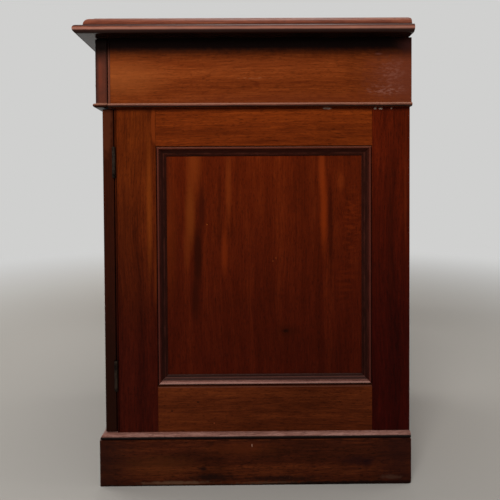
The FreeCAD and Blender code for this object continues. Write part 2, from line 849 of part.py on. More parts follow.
def plinth_boards():
    """Front, outer, inner and back boards of the right plinth, its front corners mitred and rounded."""
    x0, x3 = x_inner - plinth_reach, x_plinth
    x1, x2 = x0 + plinth_thickness, x3 - plinth_thickness
    y1 = y_plinth + plinth_thickness
    y2 = y_back - plinth_thickness
    block = box(x0, x3, y_plinth, y_back, 0, plinth_height)
    block = block.makeFillet(plinth_corner, front_uprights(block, y_plinth))
    plans = [
        [(x0, y_plinth), (x3, y_plinth), (x2, y1), (x1, y1)],
        [(x3, y_plinth), (x3, y_back), (x2, y_back), (x2, y1)],
        [(x0, y_plinth), (x1, y1), (x1, y_back), (x0, y_back)],
        [(x1, y2), (x2, y2), (x2, y_back), (x1, y_back)],
    ]
    boards = []
    for plan in plans:
        prism = outline([Vector(x, y, 0) for x, y in plan]).extrude(Vector(0, 0, plinth_height))
        boards.append(block.common(prism).Solids[0])
    return boards


def plinth_cap():
    """Mitred cap on three sides, the front length with the rail under the door or drawer."""
    section = cap_section()
    depth = y_back - y_pedestal
    corner = Vector(x_end, y_pedestal, plinth_height)
    front = moulding(section, cap_reach, x_end - x_inner, corner, Vector(-1, 0, 0), Vector(0, -1, 0), 1, 1)
    rail = box(x_inner, x_end, y_pedestal, y_carcass, plinth_height, z_cap)
    back_corner = Vector(x_end, y_back, plinth_height)
    inner_corner = Vector(x_inner, y_pedestal, plinth_height)
    return [
        front.fuse(rail).removeSplitter().Solids[0],
        moulding(section, cap_reach, depth, back_corner, Vector(0, -1, 0), Vector(1, 0, 0), 0, 1),
        moulding(section, cap_reach, depth, inner_corner, Vector(0, 1, 0), Vector(-1, 0, 0), 1, 0),
    ]


def carcass():
    """Inner side, back, bottom and top boards, pegs and plinth of the right pedestal."""
    in_x0, in_x1 = x_inner + inner_side_thickness, x_end - side_thickness
    y_board = y_back - back_thickness
    rebate_x = in_x0 - back_rebate
    y_lip = y_carcass + lipping_thickness
    low, high = plinth_height - overrun, z_deck + overrun
    rebate = box(rebate_x, in_x0 + overrun, y_board, y_back + overrun, low, high)
    peg_length = peg_depth + z_dust_top - z_deck - drawer_float
    pegs = [
        Part.makeCylinder(peg_radius, peg_length, Vector(x, y, z_deck - peg_depth))
        for x, y in peg_places() if x > 0
    ]
    return {
        "inner_side": [
            box(x_inner, in_x0, y_lip, y_back, plinth_height, z_deck).cut(rebate).Solids[0],
            lipping(x_inner, in_x0, y_carcass, plinth_height, z_deck),
        ],
        "back_board": [box(rebate_x, in_x1 + back_rebate, y_board, y_back, plinth_height, z_deck)],
        "carcass_boards": [
            box(in_x0, in_x1, y_carcass, y_board, plinth_height, z_floor_board),
            box(in_x0, in_x1, y_carcass, y_board, z_sub_top, z_deck).cut(pegs).Solids[0],
            *pegs,
        ],
        "plinth": plinth_boards(),
        "plinth_cap": plinth_cap(),
    }


def make_pedestals():
    """Both pedestals, without the drawers, the door and the shelf."""
    pieces = {**end_frame(), **carcass()}
    for part, solids in pieces.items():
        write(f"left_{part}", *[mirrored(s) for s in solids])
    pieces["end_frame"] = [s.cut(hinge_recess(1)).Solids[0] for s in pieces["end_frame"]]
    pieces["inner_side"] = [s.cut(strike()).Solids[0] for s in pieces["inner_side"]]
    for part, solids in pieces.items():
        write(f"right_{part}", *solids)


def make_shelf():
    """Shelf of the cupboard and the battens that it lies on."""
    in_x0, in_x1 = x_inner + inner_side_thickness, x_end - side_thickness
    y0, y1 = y_carcass + shelf_setback, y_back - back_thickness
    z0 = shelf_height - shelf_thickness
    write("right_shelf", box(in_x0 + shelf_play, in_x1 - shelf_play, y0, y1 - shelf_play, z0, shelf_height))
    write(
        "right_shelf_battens",
        box(in_x0, in_x0 + batten_width, y0, y1, z0 - batten_height, z0),
        box(in_x1 - batten_width, in_x1, y0, y1, z0 - batten_height, z0),
    )


def make_drawer_bank():
    """Rails, runners and three drawers of the left pedestal."""
    x0, x1 = -x_end + side_thickness, -x_inner - inner_side_thickness
    y_behind = y_carcass + rail_depth
    y_board = y_back - back_thickness
    y_end = y_board - drawer_back_play
    rails = []
    clear = z_sub_top - z_floor_board - (len(pedestal_drawer_shares) - 1) * drawer_rail
    low = z_floor_board
    face_low = z_cap + door_clearance
    for name, share in zip(("lower", "middle", "upper"), reversed(pedestal_drawer_shares)):
        high = low + share * clear
        last = name == "upper"
        face_high = z_deck - door_clearance if last else high + (drawer_rail - front_gap) / 2
        face = (-x_end, -x_inner, face_low, face_high)
        opening = (x0, x1, low, high)
        front = make_drawer(f"{name}_drawer", opening, face, y_pedestal, door_thickness, y_end)
        write(f"{name}_drawer_front", front)
        if not last:
            rails.append(box(x0, x1, y_carcass, y_behind, high, high + drawer_rail))
            rails.append(box(x0, x0 + runner_width, y_behind, y_board, high, high + drawer_rail))
            rails.append(box(x1 - runner_width, x1, y_behind, y_board, high, high + drawer_rail))
        low = high + drawer_rail
        face_low = face_high + front_gap
    write("left_drawer_rails", *rails)


# Door

def door_lock_case():
    """Low and high x and y of the door lock's case."""
    x0 = x_inner + inner_side_thickness + door_lock_inset
    y0 = y_pedestal + door_thickness
    return x0, x0 + door_lock_width, y0, y0 + lock_thickness


def door_bolt(x0, x1, grow):
    """Bolt-shaped block between two x values, grown by a clearance in y and z."""
    _, _, y0, y1 = door_lock_case()
    middle = (y0 + y1) / 2
    half_t, half_h = bolt_thickness / 2 + grow, bolt_height / 2 + grow
    low, high = door_lock_centre - half_h, door_lock_centre + half_h
    return box(x0, x1, middle - half_t, middle + half_t, low, high)


def strike():
    """Mortise in the carcass side that the door's bolt enters."""
    x1 = x_inner + inner_side_thickness
    return door_bolt(x1 - strike_depth, x1 + overrun, 2 * bolt_play)


def make_door():
    """Framed door with its knob, lock and bolt."""
    rails = (door_rail_top, door_rail_bottom)
    parts = frame_parts(x_end - x_inner, door_height, door_thickness, door_stile, door_stile, *rails)
    origin = Vector(x_inner, y_pedestal, z_door)

    def place(shape):
        return placed(shape, origin, Vector(1, 0, 0), Vector(0, 0, 1), Vector(0, -1, 0))

    x0, x1, y0, y1 = door_lock_case()
    knob_x = (x0 + x1) / 2
    key_z = door_lock_centre - bolt_height / 2 - bolt_play - keyhole_radius - escutcheon_wall
    key_place = Vector(knob_x, y_pedestal, key_z)
    closing, hanging = [place(s) for s in parts["stiles"]]
    closing = closing.cut([
        spigot_hole(knob_x, y_pedestal, door_knob_height, door_thickness),
        key_way(key_place, door_thickness),
    ])
    hanging = hanging.cut(hinge_recess(-1))
    write("door_frame", closing.Solids[0], hanging.Solids[0], *[place(r) for r in parts["rails"]])
    write("door_panel", place(parts["panel"]))
    write("door_moulding", *[place(m) for m in parts["mouldings"]])
    write("door_knob", knob(knob_x, y_pedestal, door_knob_height, door_thickness))

    low = door_lock_centre - door_lock_height / 2
    case = box(x0, x1, y0, y1, low, low + door_lock_height)
    key = keyhole(0, 0, door_thickness + lock_thickness / 2).translate(key_place)
    case = case.cut([door_bolt(x0 - overrun, x0 + bolt_length + bolt_play, bolt_play), key])
    write("door_lock", case.Solids[0], escutcheon(key_place))
    write("door_lock_bolt", door_bolt(x0, x0 + bolt_length, 0))


os.makedirs("parts", exist_ok=True)
make_top()
make_frieze()
make_pedestals()
make_drawer_bank()
make_shelf()
make_hinges()
make_door()
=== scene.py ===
"""The looks of a mahogany pedestal desk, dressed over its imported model, in metres.

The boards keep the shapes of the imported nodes. The ones that show are lifted off as separate
boards with eased arrises, and each board has its own run of grain. The top's moulded border, the
tooled leather and the turned knobs are modelled here.
"""

import functools
import json
import logging
import math
from dataclasses import dataclass, field
from enum import Enum
from typing import Callable, Sequence

import bmesh
import bpy
from mathutils import Matrix, Vector

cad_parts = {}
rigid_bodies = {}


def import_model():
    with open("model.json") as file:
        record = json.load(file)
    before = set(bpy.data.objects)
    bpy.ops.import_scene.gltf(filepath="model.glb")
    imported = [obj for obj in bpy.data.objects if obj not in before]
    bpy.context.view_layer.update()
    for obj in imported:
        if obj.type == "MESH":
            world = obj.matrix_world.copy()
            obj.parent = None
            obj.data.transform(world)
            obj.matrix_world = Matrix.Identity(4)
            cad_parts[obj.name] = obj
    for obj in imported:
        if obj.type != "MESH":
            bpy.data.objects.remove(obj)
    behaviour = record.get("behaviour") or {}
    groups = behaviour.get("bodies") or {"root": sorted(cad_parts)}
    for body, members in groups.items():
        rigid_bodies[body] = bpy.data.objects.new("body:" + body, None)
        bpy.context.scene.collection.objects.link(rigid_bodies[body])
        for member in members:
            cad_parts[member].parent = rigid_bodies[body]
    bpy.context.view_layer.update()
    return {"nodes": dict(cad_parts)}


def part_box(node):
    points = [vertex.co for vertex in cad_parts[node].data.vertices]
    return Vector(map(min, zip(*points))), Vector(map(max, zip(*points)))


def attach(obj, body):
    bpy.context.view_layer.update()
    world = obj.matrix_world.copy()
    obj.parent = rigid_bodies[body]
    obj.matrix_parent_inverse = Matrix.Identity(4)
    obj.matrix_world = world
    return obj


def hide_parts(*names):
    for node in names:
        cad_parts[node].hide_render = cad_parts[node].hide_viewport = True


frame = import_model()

log = logging.getLogger("desk")

Colour = tuple[float, float, float]
Point = tuple[float, float, float]
Material = bpy.types.Material
Node = bpy.types.Node
Piece = bpy.types.Object
Finishes = tuple[Material, Material]


def paint(red: float, green: float, blue: float) -> Colour:
    """Turns a colour as it looks on screen, from 0 to 255, into the linear values of a shader."""
    shares = [value / 255 for value in (red, green, blue)]
    return tuple(s / 12.92 if s <= 0.04045 else ((s + 0.055) / 1.055) ** 2.4 for s in shares)


def dim(colour: Colour, share: float) -> Colour:
    """A share of a colour."""
    return tuple(share * channel for channel in colour)


class Grain(Enum):
    """The way the grain of a board runs, with the turn that brings it to local X."""

    LENGTHWISE = (0.0, 0.0, 0.0)
    FRONT_TO_BACK = (0.0, 0.0, -math.pi / 2)
    UPRIGHT = (0.0, math.pi / 2, 0.0)


def operator(operation: str, turned: bool = False) -> Callable[["Signal", object], "Signal"]:
    """Makes a method of Signal that adds a sum of the signal and another one or a number.

    Args:
        operation: The sum's name.
        turned: Whether the other one comes first.

    Returns:
        The method.
    """
    def method(self: "Signal", other: object) -> "Signal":
        """Adds the sum's node."""
        return self.w.math(operation, *((other, self) if turned else (self, other)))

    return method


@dataclass
class Signal:
    """A value that runs along a node tree, whose sums add nodes to the tree."""

    w: "Wiring"
    socket: bpy.types.NodeSocket
    __add__ = operator("ADD")
    __sub__ = operator("SUBTRACT")
    __rsub__ = operator("SUBTRACT", turned=True)
    __mul__ = operator("MULTIPLY")
    __truediv__ = operator("DIVIDE")

    def clamped(self) -> "Signal":
        """The same sum, kept between 0 and 1."""
        self.socket.node.use_clamp = True
        return self


class Wiring:
    """Adds and joins the nodes of one material, group or world."""

    def __init__(self, tree: bpy.types.NodeTree) -> None:
        """Starts from an empty tree."""
        self.tree = tree
        tree.nodes.clear()

    def add(self, kind: str, inputs: dict[str | int, object] | None = None, **settings: object) -> Node:
        """Adds a node.

        Args:
            kind: The node's type.
            inputs: What its inputs get, by name or number.
            settings: Its own settings.

        Returns:
            The node.
        """
        node = self.tree.nodes.new(kind)
        for name, value in settings.items():
            setattr(node, name, value)
        for name, value in (inputs or {}).items():
            self.feed(node.inputs[name], value)
        return node

    def feed(self, socket: bpy.types.NodeSocket, value: object) -> None:
        """Joins a signal to a socket, or sets the socket's own value.

        Args:
            socket: The socket.
            value: The signal or the value.
        """
        if isinstance(value, Signal):
            self.tree.links.new(value.socket, socket)
        elif isinstance(value, tuple) and socket.type == "RGBA":
            socket.default_value = (*value, 1.0)
        else:
            socket.default_value = value

    def out(self, node: Node, name: str | int = 0) -> Signal:
        """One of a node's outputs."""
        return Signal(self, node.outputs[name])

    def place(self) -> Signal:
        """The place on the object, in metres."""
        return self.out(self.add("ShaderNodeTexCoord"), "Object")

    def math(self, operation: str, first: object, second: object) -> Signal:
        """A sum of two numbers."""
        return self.out(self.add("ShaderNodeMath", {0: first, 1: second}, operation=operation))

    def vector(self, operation: str, first: object, second: object, name: str = "Vector") -> Signal:
        """A sum of two vectors, of which the output called Value is a number."""
        return self.out(self.add("ShaderNodeVectorMath", {0: first, 1: second}, operation=operation), name)

    def noise(self, at: object, scale: float, detail: float = 2.0, rough: float = 0.5,
              name: int = 0) -> Signal:
        """Clouds of values, so many per metre and so many finer layers, or of colours as output 1."""
        inputs = {"Vector": at, "Scale": scale, "Detail": detail, "Roughness": rough}
        return self.out(self.add("ShaderNodeTexNoise", inputs), name)

    def fibres(self, at: Signal, along: float, across: float, detail: float, rough: float = 0.5) -> Signal:
        """Clouds drawn out along X, in clouds per metre along and across."""
        return self.noise(self.vector("MULTIPLY", at, (along, across, across)), 1.0, detail, rough)

    def step(self, value: Signal, low: float, high: object, start: float = 0.0, end: float = 1.0) -> Signal:
        """Turns a value smoothly into start up to the low level and end from the high level on."""
        inputs = {"Value": value, "From Min": low, "From Max": high, "To Min": start, "To Max": end}
        return self.out(self.add("ShaderNodeMapRange", inputs, interpolation_type="SMOOTHSTEP"))

    def mix(self, share: object, first: object, second: object, blend: str = "MIX") -> Signal:
        """Mixes a share of the second colour into the first.

        Args:
            share: The share, from 0 to 1.
            first: The first colour.
            second: The second colour.
            blend: How the two are blended.

        Returns:
            The colour.
        """
        node = self.add("ShaderNodeMix", data_type="RGBA", blend_type=blend)
        for number, value in ((0, share), (6, first), (7, second)):
            self.feed(node.inputs[number], value)
        return self.out(node, 2)

    def ramp(self, value: Signal, stops: Sequence[tuple[float, Colour]]) -> Signal:
        """Colours a value by stops.

        Args:
            value: The value.
            stops: Places from 0 to 1 with their colours.

        Returns:
            The colour.
        """
        node = self.add("ShaderNodeValToRGB", {0: value})
        band = node.color_ramp
        while len(band.elements) < len(stops):
            band.elements.new(0.5)
        for element, (place, colour) in zip(band.elements, stops):
            element.position = place
            element.color = (*colour, 1.0)
        return self.out(node)

    def use(self, group: bpy.types.NodeTree, **values: object) -> dict[str, Signal]:
        """Places a node group with its own values.

        Args:
            group: The group.
            values: What its inputs get, by name.

        Returns:
            Its outputs, by name.
        """
        inputs = {name.replace("_", " "): value for name, value in values.items()}
        node = self.add("ShaderNodeGroup", inputs, node_tree=group)
        return {socket.name: Signal(self, socket) for socket in node.outputs}

    def join(self, share: Signal, first: Node, second: Node) -> Node:
        """Mixes two shaders."""
        return self.add("ShaderNodeMixShader", {0: share, 1: self.out(first), 2: self.out(second)})

    def end(self, shader: Node, kind: str = "Material") -> None:
        """Puts a shader out."""
        self.add(f"ShaderNodeOutput{kind}", {0: self.out(shader)})

    def polish(self, colour: Signal, rough: Signal, height: Signal, bump: tuple[float, float],
               inputs: dict[str, object]) -> None:
        """Ends a material with its shader and relief.

        Args:
            colour: The base colour.
            rough: The roughness.
            height: What the relief follows.
            bump: The relief's strength, and its depth in metres.
            inputs: What the shader's other inputs get.
        """
        strength, depth = bump
        relief = self.add("ShaderNodeBump", {"Strength": strength, "Distance": depth, "Height": height})
        inputs = {"Base Color": colour, "Roughness": rough, "Normal": self.out(relief), **inputs}
        self.end(self.add("ShaderNodeBsdfPrincipled", inputs))


VECTORS = ("Vector", "Centre", "Size", "Fleck", "Outward")


def effect(inputs: Sequence[str], outputs: Sequence[str]) -> Callable:
    """Turns a function that wires an effect into one that gives its node group, built once.

    Args:
        inputs: Names of the group's inputs, which the function gets as signals.
        outputs: Names of its outputs, which the function returns.

    Returns:
        What turns the function.
    """
    def turn(wire: Callable[..., Sequence[Signal]]) -> Callable[[], bpy.types.NodeTree]:
        """Turns the function.

        Args:
            wire: The function.

        Returns:
            What gives the node group.
        """
        @functools.cache
        def group() -> bpy.types.NodeTree:
            """Builds the effect's node group.

            Returns:
                The group.
            """
            tree = bpy.data.node_groups.new(wire.__name__, "ShaderNodeTree")
            for name in inputs:
                kind = "NodeSocketVector" if name in VECTORS else "NodeSocketFloat"
                tree.interface.new_socket(name=name, in_out="INPUT", socket_type=kind)
            for name in outputs:
                tree.interface.new_socket(name=name, in_out="OUTPUT", socket_type="NodeSocketFloat")
            w = Wiring(tree)
            entry = w.add("NodeGroupInput")
            results = wire(w, *[w.out(entry, name) for name in inputs])
            w.add("NodeGroupOutput", dict(zip(outputs, results)))
            return tree

        return group

    return turn


@effect(("Vector", "Streak", "Ribbon", "Ripple", "Pores"), ("Tone", "Pore"))
def timber_figure(w: Wiring, at: Signal, streak: Signal, ribbon: Signal, ripple: Signal,
                  pores: Signal) -> Sequence[Signal]:
    """The figure of timber whose grain runs along X: streaks, bands, ribbons, ripple and pores.

    Args:
        w: The group's wiring.
        at: The place, turned along the grain.
        streak: Strength of the streaks.
        ribbon: Strength of the ribbons.
        ripple: Strength of the ripple.
        pores: Strength of the pores.

    Returns:
        The tone and the pores.
    """
    cloud = w.noise(w.vector("MULTIPLY", at, (1.0, 1.6, 1.6)), 2.1, name=1)
    drift = w.vector("MULTIPLY", w.vector("SUBTRACT", cloud, (0.5, 0.5, 0.5)), (0.05, 0.045, 0.045))
    grain = w.vector("ADD", at, drift)
    streaks = w.fibres(grain, along=1.6, across=46.0, detail=9.0, rough=0.66)
    fine = w.fibres(grain, along=22.0, across=430.0, detail=3.0, rough=0.65)
    bands = w.fibres(grain, along=0.5, across=8.0, detail=3.0)
    ribbons = w.step(w.fibres(grain, along=1.9, across=42.0, detail=1.5, rough=0.4), 0.38, 0.62)
    waves = w.fibres(grain, along=64.0, across=6.0, detail=1.0)
    waved = w.step(w.fibres(at, along=2.2, across=9.0, detail=1.0), 0.50, 0.64)
    tone = (streaks - 0.5 + (fine - 0.5) * 1.1) * streak
    tone = tone + (bands - 0.5) * 0.25 + (ribbons - 0.5) * ribbon + (waves - 0.5) * ripple * waved
    dashes = w.step(w.fibres(grain, along=150.0, across=1400.0, detail=0.0), 0.60, 0.74)
    flecks = w.step(w.fibres(grain, along=70.0, across=640.0, detail=1.0), 0.61, 0.72)
    return (tone + 0.5).clamped(), (w.math("MAXIMUM", dashes, flecks) * pores).clamped()


@effect(("Vector", "Dirt", "Scuffs", "Foot Dark"), ("Dirt", "Scuff", "Gloss", "Foot"))
def polish_age(w: Wiring, at: Signal, dirt: Signal, scuffs: Signal, foot_shade: Signal) -> Sequence[Signal]:
    """What years do to polish: cloudy dirt, small scuffs and uneven gloss; and painted shade that darkens the
    foot.

    Args:
        w: The group's wiring.
        at: The place on the object.
        dirt: Strength of the dirt.
        scuffs: Strength of the scuffs.
        foot_shade: How far the painted shade darkens the foot.

    Returns:
        The dirt, the scuffs, the gloss and the foot's painted shade.
    """
    clouds = w.step(w.noise(at, 6.0, 6.0, 0.6), 0.50, 0.78)
    area = w.step(w.noise(at, 9.0), 0.54, 0.66)
    flecks = w.step(w.noise(at, 430.0), 0.66, 0.74)
    height = w.out(w.add("ShaderNodeSeparateXYZ", {0: at}), 2) + (clouds - 0.5) * 0.04
    foot = w.step(height, 0.70, 0.16)
    return clouds * dirt, area * flecks * scuffs, w.noise(at, 17.0, 4.0), foot * foot_shade


@effect(("Vector", "Centre", "Size", "Ragged", "Core", "Broken", "Fleck"), ("Mask",))
def soft_mark(w: Wiring, at: Signal, centre: Signal, size: Signal, ragged: Signal, core: Signal,
              broken: Signal, fleck: Signal) -> Sequence[Signal]:
    """A mark with a soft, ragged outline at one place: a streak, a knot, a rub, a chip, or a painted shade or
    highlight.

    Args:
        w: The group's wiring.
        at: The place on the object.
        centre: The mark's middle.
        size: Its reach along each axis.
        ragged: How ragged its outline is.
        core: The share of it at full strength.
        broken: How far it is split up.
        fleck: How many pieces it then has per metre.

    Returns:
        The mark's mask.
    """
    apart = w.vector("DIVIDE", w.vector("SUBTRACT", at, centre), size)
    length = w.vector("LENGTH", apart, (0.0, 0.0, 0.0), "Value")
    mask = w.step(length + (w.noise(at, 130.0, 3.0) - 0.5) * ragged, 1.0, core)
    kept = w.step(w.noise(w.vector("MULTIPLY", at, fleck), 1.0, 3.0), 0.46, 0.62)
    return (mask * (1.0 - broken * (1.0 - kept)),)


@effect(("Vector", "Outward", "Floor", "Height"), ("Hollow", "Crest", "Foot"))
def hollow_dirt(w: Wiring, at: Signal, outward: Signal, floor: Signal, height: Signal) -> Sequence[Signal]:
    """Darkens the hollows of a moulding by the depth below its crest, as dust and painted shade, and lightens
    its crest and foot as painted highlights.

    Args:
        w: The group's wiring.
        at: The place on the object.
        outward: The moulding's outward direction.
        floor: Where its hollows lie that way.
        height: How high its crest stands above them.

    Returns:
        The hollows, the crest and the foot.
    """
    rise = (w.vector("DOT_PRODUCT", at, outward, "Value") - floor) / height
    rise = rise + (w.noise(at, 45.0, 3.0) - 0.5) * 0.3
    return w.step(rise, 0.72, 0.30), w.step(rise, 0.72, 1.0), w.step(rise, 0.22, 0.10)


@effect(("Vector", "Scale"), ("Height", "Tone", "Rubbed"))
def hide_grain(w: Wiring, at: Signal, scale: Signal) -> Sequence[Signal]:
    """The pebbles and creases of old hide."""
    pebbles = w.add("ShaderNodeTexVoronoi", {"Vector": at, "Scale": scale}, feature="SMOOTH_F1")
    return w.out(pebbles, "Distance"), w.noise(at, 7.0, 5.0, 0.6), w.step(w.noise(at, 3.4, 4.0), 0.50, 0.70)


@effect(("Vector", "Amount"), ("Tarnish", "Spots"))
def metal_patina(w: Wiring, at: Signal, amount: Signal) -> Sequence[Signal]:
    """Tarnish in clouds and small spots.

    Args:
        w: The group's wiring.
        at: The place on the object.
        amount: How much tarnish there is.

    Returns:
        The tarnish and the spots.
    """
    clouds = w.step(w.noise(at, 120.0, 4.0), 0.36, 0.66)
    spots = w.step(w.noise(at, 900.0), 0.60, 0.72)
    return clouds * amount, spots * amount


@dataclass(frozen=True)
class Mark:
    """A mark of wear, of figure, or of painted shade or highlight, at one place.

    Core is the share at full strength, broken splits it up, and fleck is how many pieces it then
    has per metre.
    """

    centre: Point
    size: Point
    colour: Colour
    strength: float
    ragged: float = 0.5
    core: float = 0.25
    broken: float = 0.0
    fleck: Point = (300.0, 300.0, 300.0)


Marks = tuple[Mark, ...]
Row = tuple[float, float, float, float, Colour, *tuple[object, ...]]
ALL_ROUND = 5.0


def end_marks(x: float, *rows: Row, depth: float = 0.02) -> Marks:
    """Marks on a face that looks along X.

    Args:
        x: The face's place.
        rows: Each mark's place in Y and Z, its reach in Y and Z, its colour as seen, its strength and
            what else a Mark holds.
        depth: Their reach in X.

    Returns:
        The marks.
    """
    return tuple(Mark((x, y, z), (depth, wide, high), paint(*colour), *rest)
                 for y, z, wide, high, colour, *rest in rows)


def line_mark(place: Point, reach: float, colour: Colour, *rest: float) -> Mark:
    """A level mark that goes all round, of a reach in Z."""
    return Mark(place, (ALL_ROUND, ALL_ROUND, reach), colour, *rest)


@dataclass(frozen=True)
class Hollows:
    """How the hollows of a moulding lie: its outward direction, floor and height."""

    outward: Point
    floor: float
    height: float


finished: dict[object, Material] = {}


def begin(name: str) -> tuple[Material, Wiring, Signal]:
    """Starts a new material.

    Args:
        name: The material's name.

    Returns:
        The material, its wiring and the place on the object.
    """
    material = bpy.data.materials.new(name)
    material.use_nodes = True
    w = Wiring(material.node_tree)
    return material, w, w.place()


@dataclass(frozen=True)
class Timber:
    """A timber with its polish."""

    name: str
    deep: Colour
    middle: Colour
    bright: Colour
    streak: float = 1.0
    ribbon: float = 0.25
    ripple: float = 0.10
    pores: float = 0.45
    roughness: float = 0.30
    specular: float = 0.05
    tint: Colour = (1.0, 0.75, 0.60)
    dirt: float = 0.30
    scuffs: float = 0.06
    # foot_shade and foot_shade_tint: painted shade that darkens each board towards the floor
    foot_shade: float = 0.45
    foot_shade_tint: Colour = (0.29, 0.17, 0.55)
    relief: float = 0.10

    def material(self, grain: Grain, seed: int, marks: Sequence[Mark] = (), hollows: Hollows | None = None,
                 worn: bool = False, shade: Colour = (1.0, 1.0, 1.0)) -> Material:
        """The timber on one board.

        Args:
            grain: The way the board's grain runs.
            seed: Picks the part of the log that the board comes from.
            marks: Marks of wear, figure, painted shade and painted highlight on this board.
            hollows: Where the board is a moulding, how its hollows lie, for the dust and painted shade in
                them and the painted highlights on its crest and foot.
            worn: Whether this is the rubbed finish of the board's arrises.
            shade: How much of each colour this board gives back, against its neighbours.

        Returns:
            The material.
        """
        key = (self, grain, seed, tuple(marks), hollows, worn, shade)
        if key in finished:
            return finished[key]
        material, w, at = begin(f"{self.name}_{grain.name.lower()}_{seed}" + ("_arris" if worn else ""))
        finished[key] = material
        turned = w.add("ShaderNodeMapping", {"Vector": at})
        turned.inputs["Rotation"].default_value = grain.value
        turned.inputs["Location"].default_value = [seed * step for step in LOG_STEP]
        figure = w.use(timber_figure(), Vector=w.out(turned), Streak=self.streak, Ribbon=self.ribbon,
                       Ripple=self.ripple, Pores=self.pores)
        age_and_foot_shade = w.use(polish_age(), Vector=at, Dirt=self.dirt, Scuffs=self.scuffs, Foot_Dark=self.foot_shade)
        deep, middle, bright = [tuple(s * c for s, c in zip(shade, tone))
                                for tone in (self.deep, self.middle, self.bright)]
        colour = w.ramp(figure["Tone"], ((0.14, deep), (0.50, middle), (0.86, bright)))
        dark = dim(self.deep, 0.30)
        colour = w.mix(figure["Pore"], colour, dark)
        colour = w.mix(age_and_foot_shade["Dirt"], colour, dark)
        # dust and painted shade in the hollows, painted highlights on the crest and foot
        if hollows:
            lie = w.use(hollow_dirt(), Vector=at, Outward=hollows.outward, Floor=hollows.floor,
                        Height=hollows.height)
            for name, share, tone in (("Hollow", 0.65, dark), ("Crest", 0.80, self.bright),
                                      ("Foot", 0.35, self.bright)):
                colour = w.mix(lie[name] * share, colour, tone)
        if worn:
            rub = w.step(w.noise(at, 38.0, 4.0), 0.40, 0.62)
            colour = w.mix(rub * 0.7, w.mix(0.6, colour, dark), self.bright)
        # painted shade: darker and redder towards the bottom of the object
        colour = w.mix(age_and_foot_shade["Foot"], colour, w.mix(1.0, colour, self.foot_shade_tint, "MULTIPLY"))
        for mark in marks:
            spot = w.use(soft_mark(), Vector=at, Centre=mark.centre, Size=mark.size, Ragged=mark.ragged,
                         Core=mark.core, Broken=mark.broken, Fleck=mark.fleck)
            colour = w.mix(spot["Mask"] * mark.strength, colour, mark.colour)
        colour = w.mix(age_and_foot_shade["Scuff"] * 0.55, colour, paint(168, 118, 92))
        rough = (age_and_foot_shade["Gloss"] - 0.5) * 0.22 + self.roughness + age_and_foot_shade["Scuff"] * 0.25 + age_and_foot_shade["Dirt"] * 0.15
        w.polish(colour, rough.clamped(), figure["Tone"] * 0.35 - figure["Pore"], (self.relief, 0.0006),
                 {"Specular IOR Level": self.specular, "Specular Tint": self.tint})
        return material

    def on(self, board: "Board", marks: Sequence[Mark] = (), grain: Grain | None = None,
           **rest: object) -> Material:
        """The timber on a board, along its own grain unless another is given."""
        return self.material(grain or board.grain, seed_of(board), marks, **rest)

    def pair(self, board: "Board", marks: Sequence[Mark] = (), grain: Grain | None = None) -> Finishes:
        """The timber of a board's faces and of its arrises."""
        return self.on(board, marks, grain), self.on(board, marks, grain, worn=True)


@dataclass(frozen=True)
class Metal:
    """A metal fitting's finish."""

    name: str
    clean: Colour
    tarnish: Colour
    amount: float
    roughness: float

    def material(self) -> Material:
        """Makes the finish, once for all fittings.

        Returns:
            The metal with its tarnish.
        """
        if self.name in bpy.data.materials:
            return bpy.data.materials[self.name]
        material, w, at = begin(self.name)
        patina = w.use(metal_patina(), Vector=at, Amount=self.amount)
        colour = w.mix(patina["Tarnish"], self.clean, self.tarnish)
        colour = w.mix(patina["Spots"], colour, dim(self.tarnish, 0.4))
        rough = (patina["Tarnish"] * 0.25 + self.roughness).clamped()
        w.polish(colour, rough, patina["Tarnish"], (0.15, 0.0002), {"Metallic": 1.0})
        return material


@dataclass(frozen=True)
class Hide:
    """Writing leather, plain or under gilt tooling."""

    name: str
    dark: Colour
    light: Colour
    gilt: float = 0.0

    def material(self) -> Material:
        """Makes the finish.

        Returns:
            The leather.
        """
        material, w, at = begin(self.name)
        hide = w.use(hide_grain(), Vector=at, Scale=620.0)
        colour = w.mix(w.step(hide["Tone"], 0.3, 0.7), self.dark, self.light)
        rubbed = tuple(min(1.0, channel) for channel in dim(self.light, 1.9))
        colour = w.mix(hide["Rubbed"] * 0.35, colour, rubbed)
        inputs = {"Specular IOR Level": 0.35}
        if self.gilt:
            inputs["Metallic"] = w.step(w.noise(at, 90.0, 4.0), 0.62, 0.44, 0.0, self.gilt)
            colour = w.mix(inputs["Metallic"], colour, paint(196, 156, 84))
        w.polish(colour, w.step(hide["Rubbed"], 0.0, 1.0, 0.52, 0.38), hide["Height"], (0.25, 0.0003), inputs)
        return material


CASE = Timber("mahogany_case", paint(60, 19, 3), paint(87, 32, 6), paint(110, 45, 10),
              ribbon=0.12, foot_shade=1.0, roughness=0.34)
FRIEZE = Timber("mahogany_frieze", paint(78, 28, 7), paint(103, 43, 13), paint(128, 60, 23),
                ribbon=0.10, foot_shade=0.0, roughness=0.34)
PANEL = Timber("mahogany_panel", paint(57, 14, 1), paint(84, 25, 4), paint(113, 42, 10),
               streak=0.55, ribbon=0.10, ripple=0.16, roughness=0.32, foot_shade=0.77)
FRONT = Timber("mahogany_front", paint(50, 14, 3), paint(84, 29, 7), paint(118, 48, 16),
               ribbon=0.30, ripple=0.20, roughness=0.28, specular=0.07, foot_shade=0.5)
MOULDING = Timber("mahogany_moulding", paint(36, 10, 4), paint(58, 20, 11), paint(84, 40, 27),
                  streak=0.8, ribbon=0.05, roughness=0.30, specular=0.07, tint=(1.0, 0.82, 0.72),
                  foot_shade=0.45)
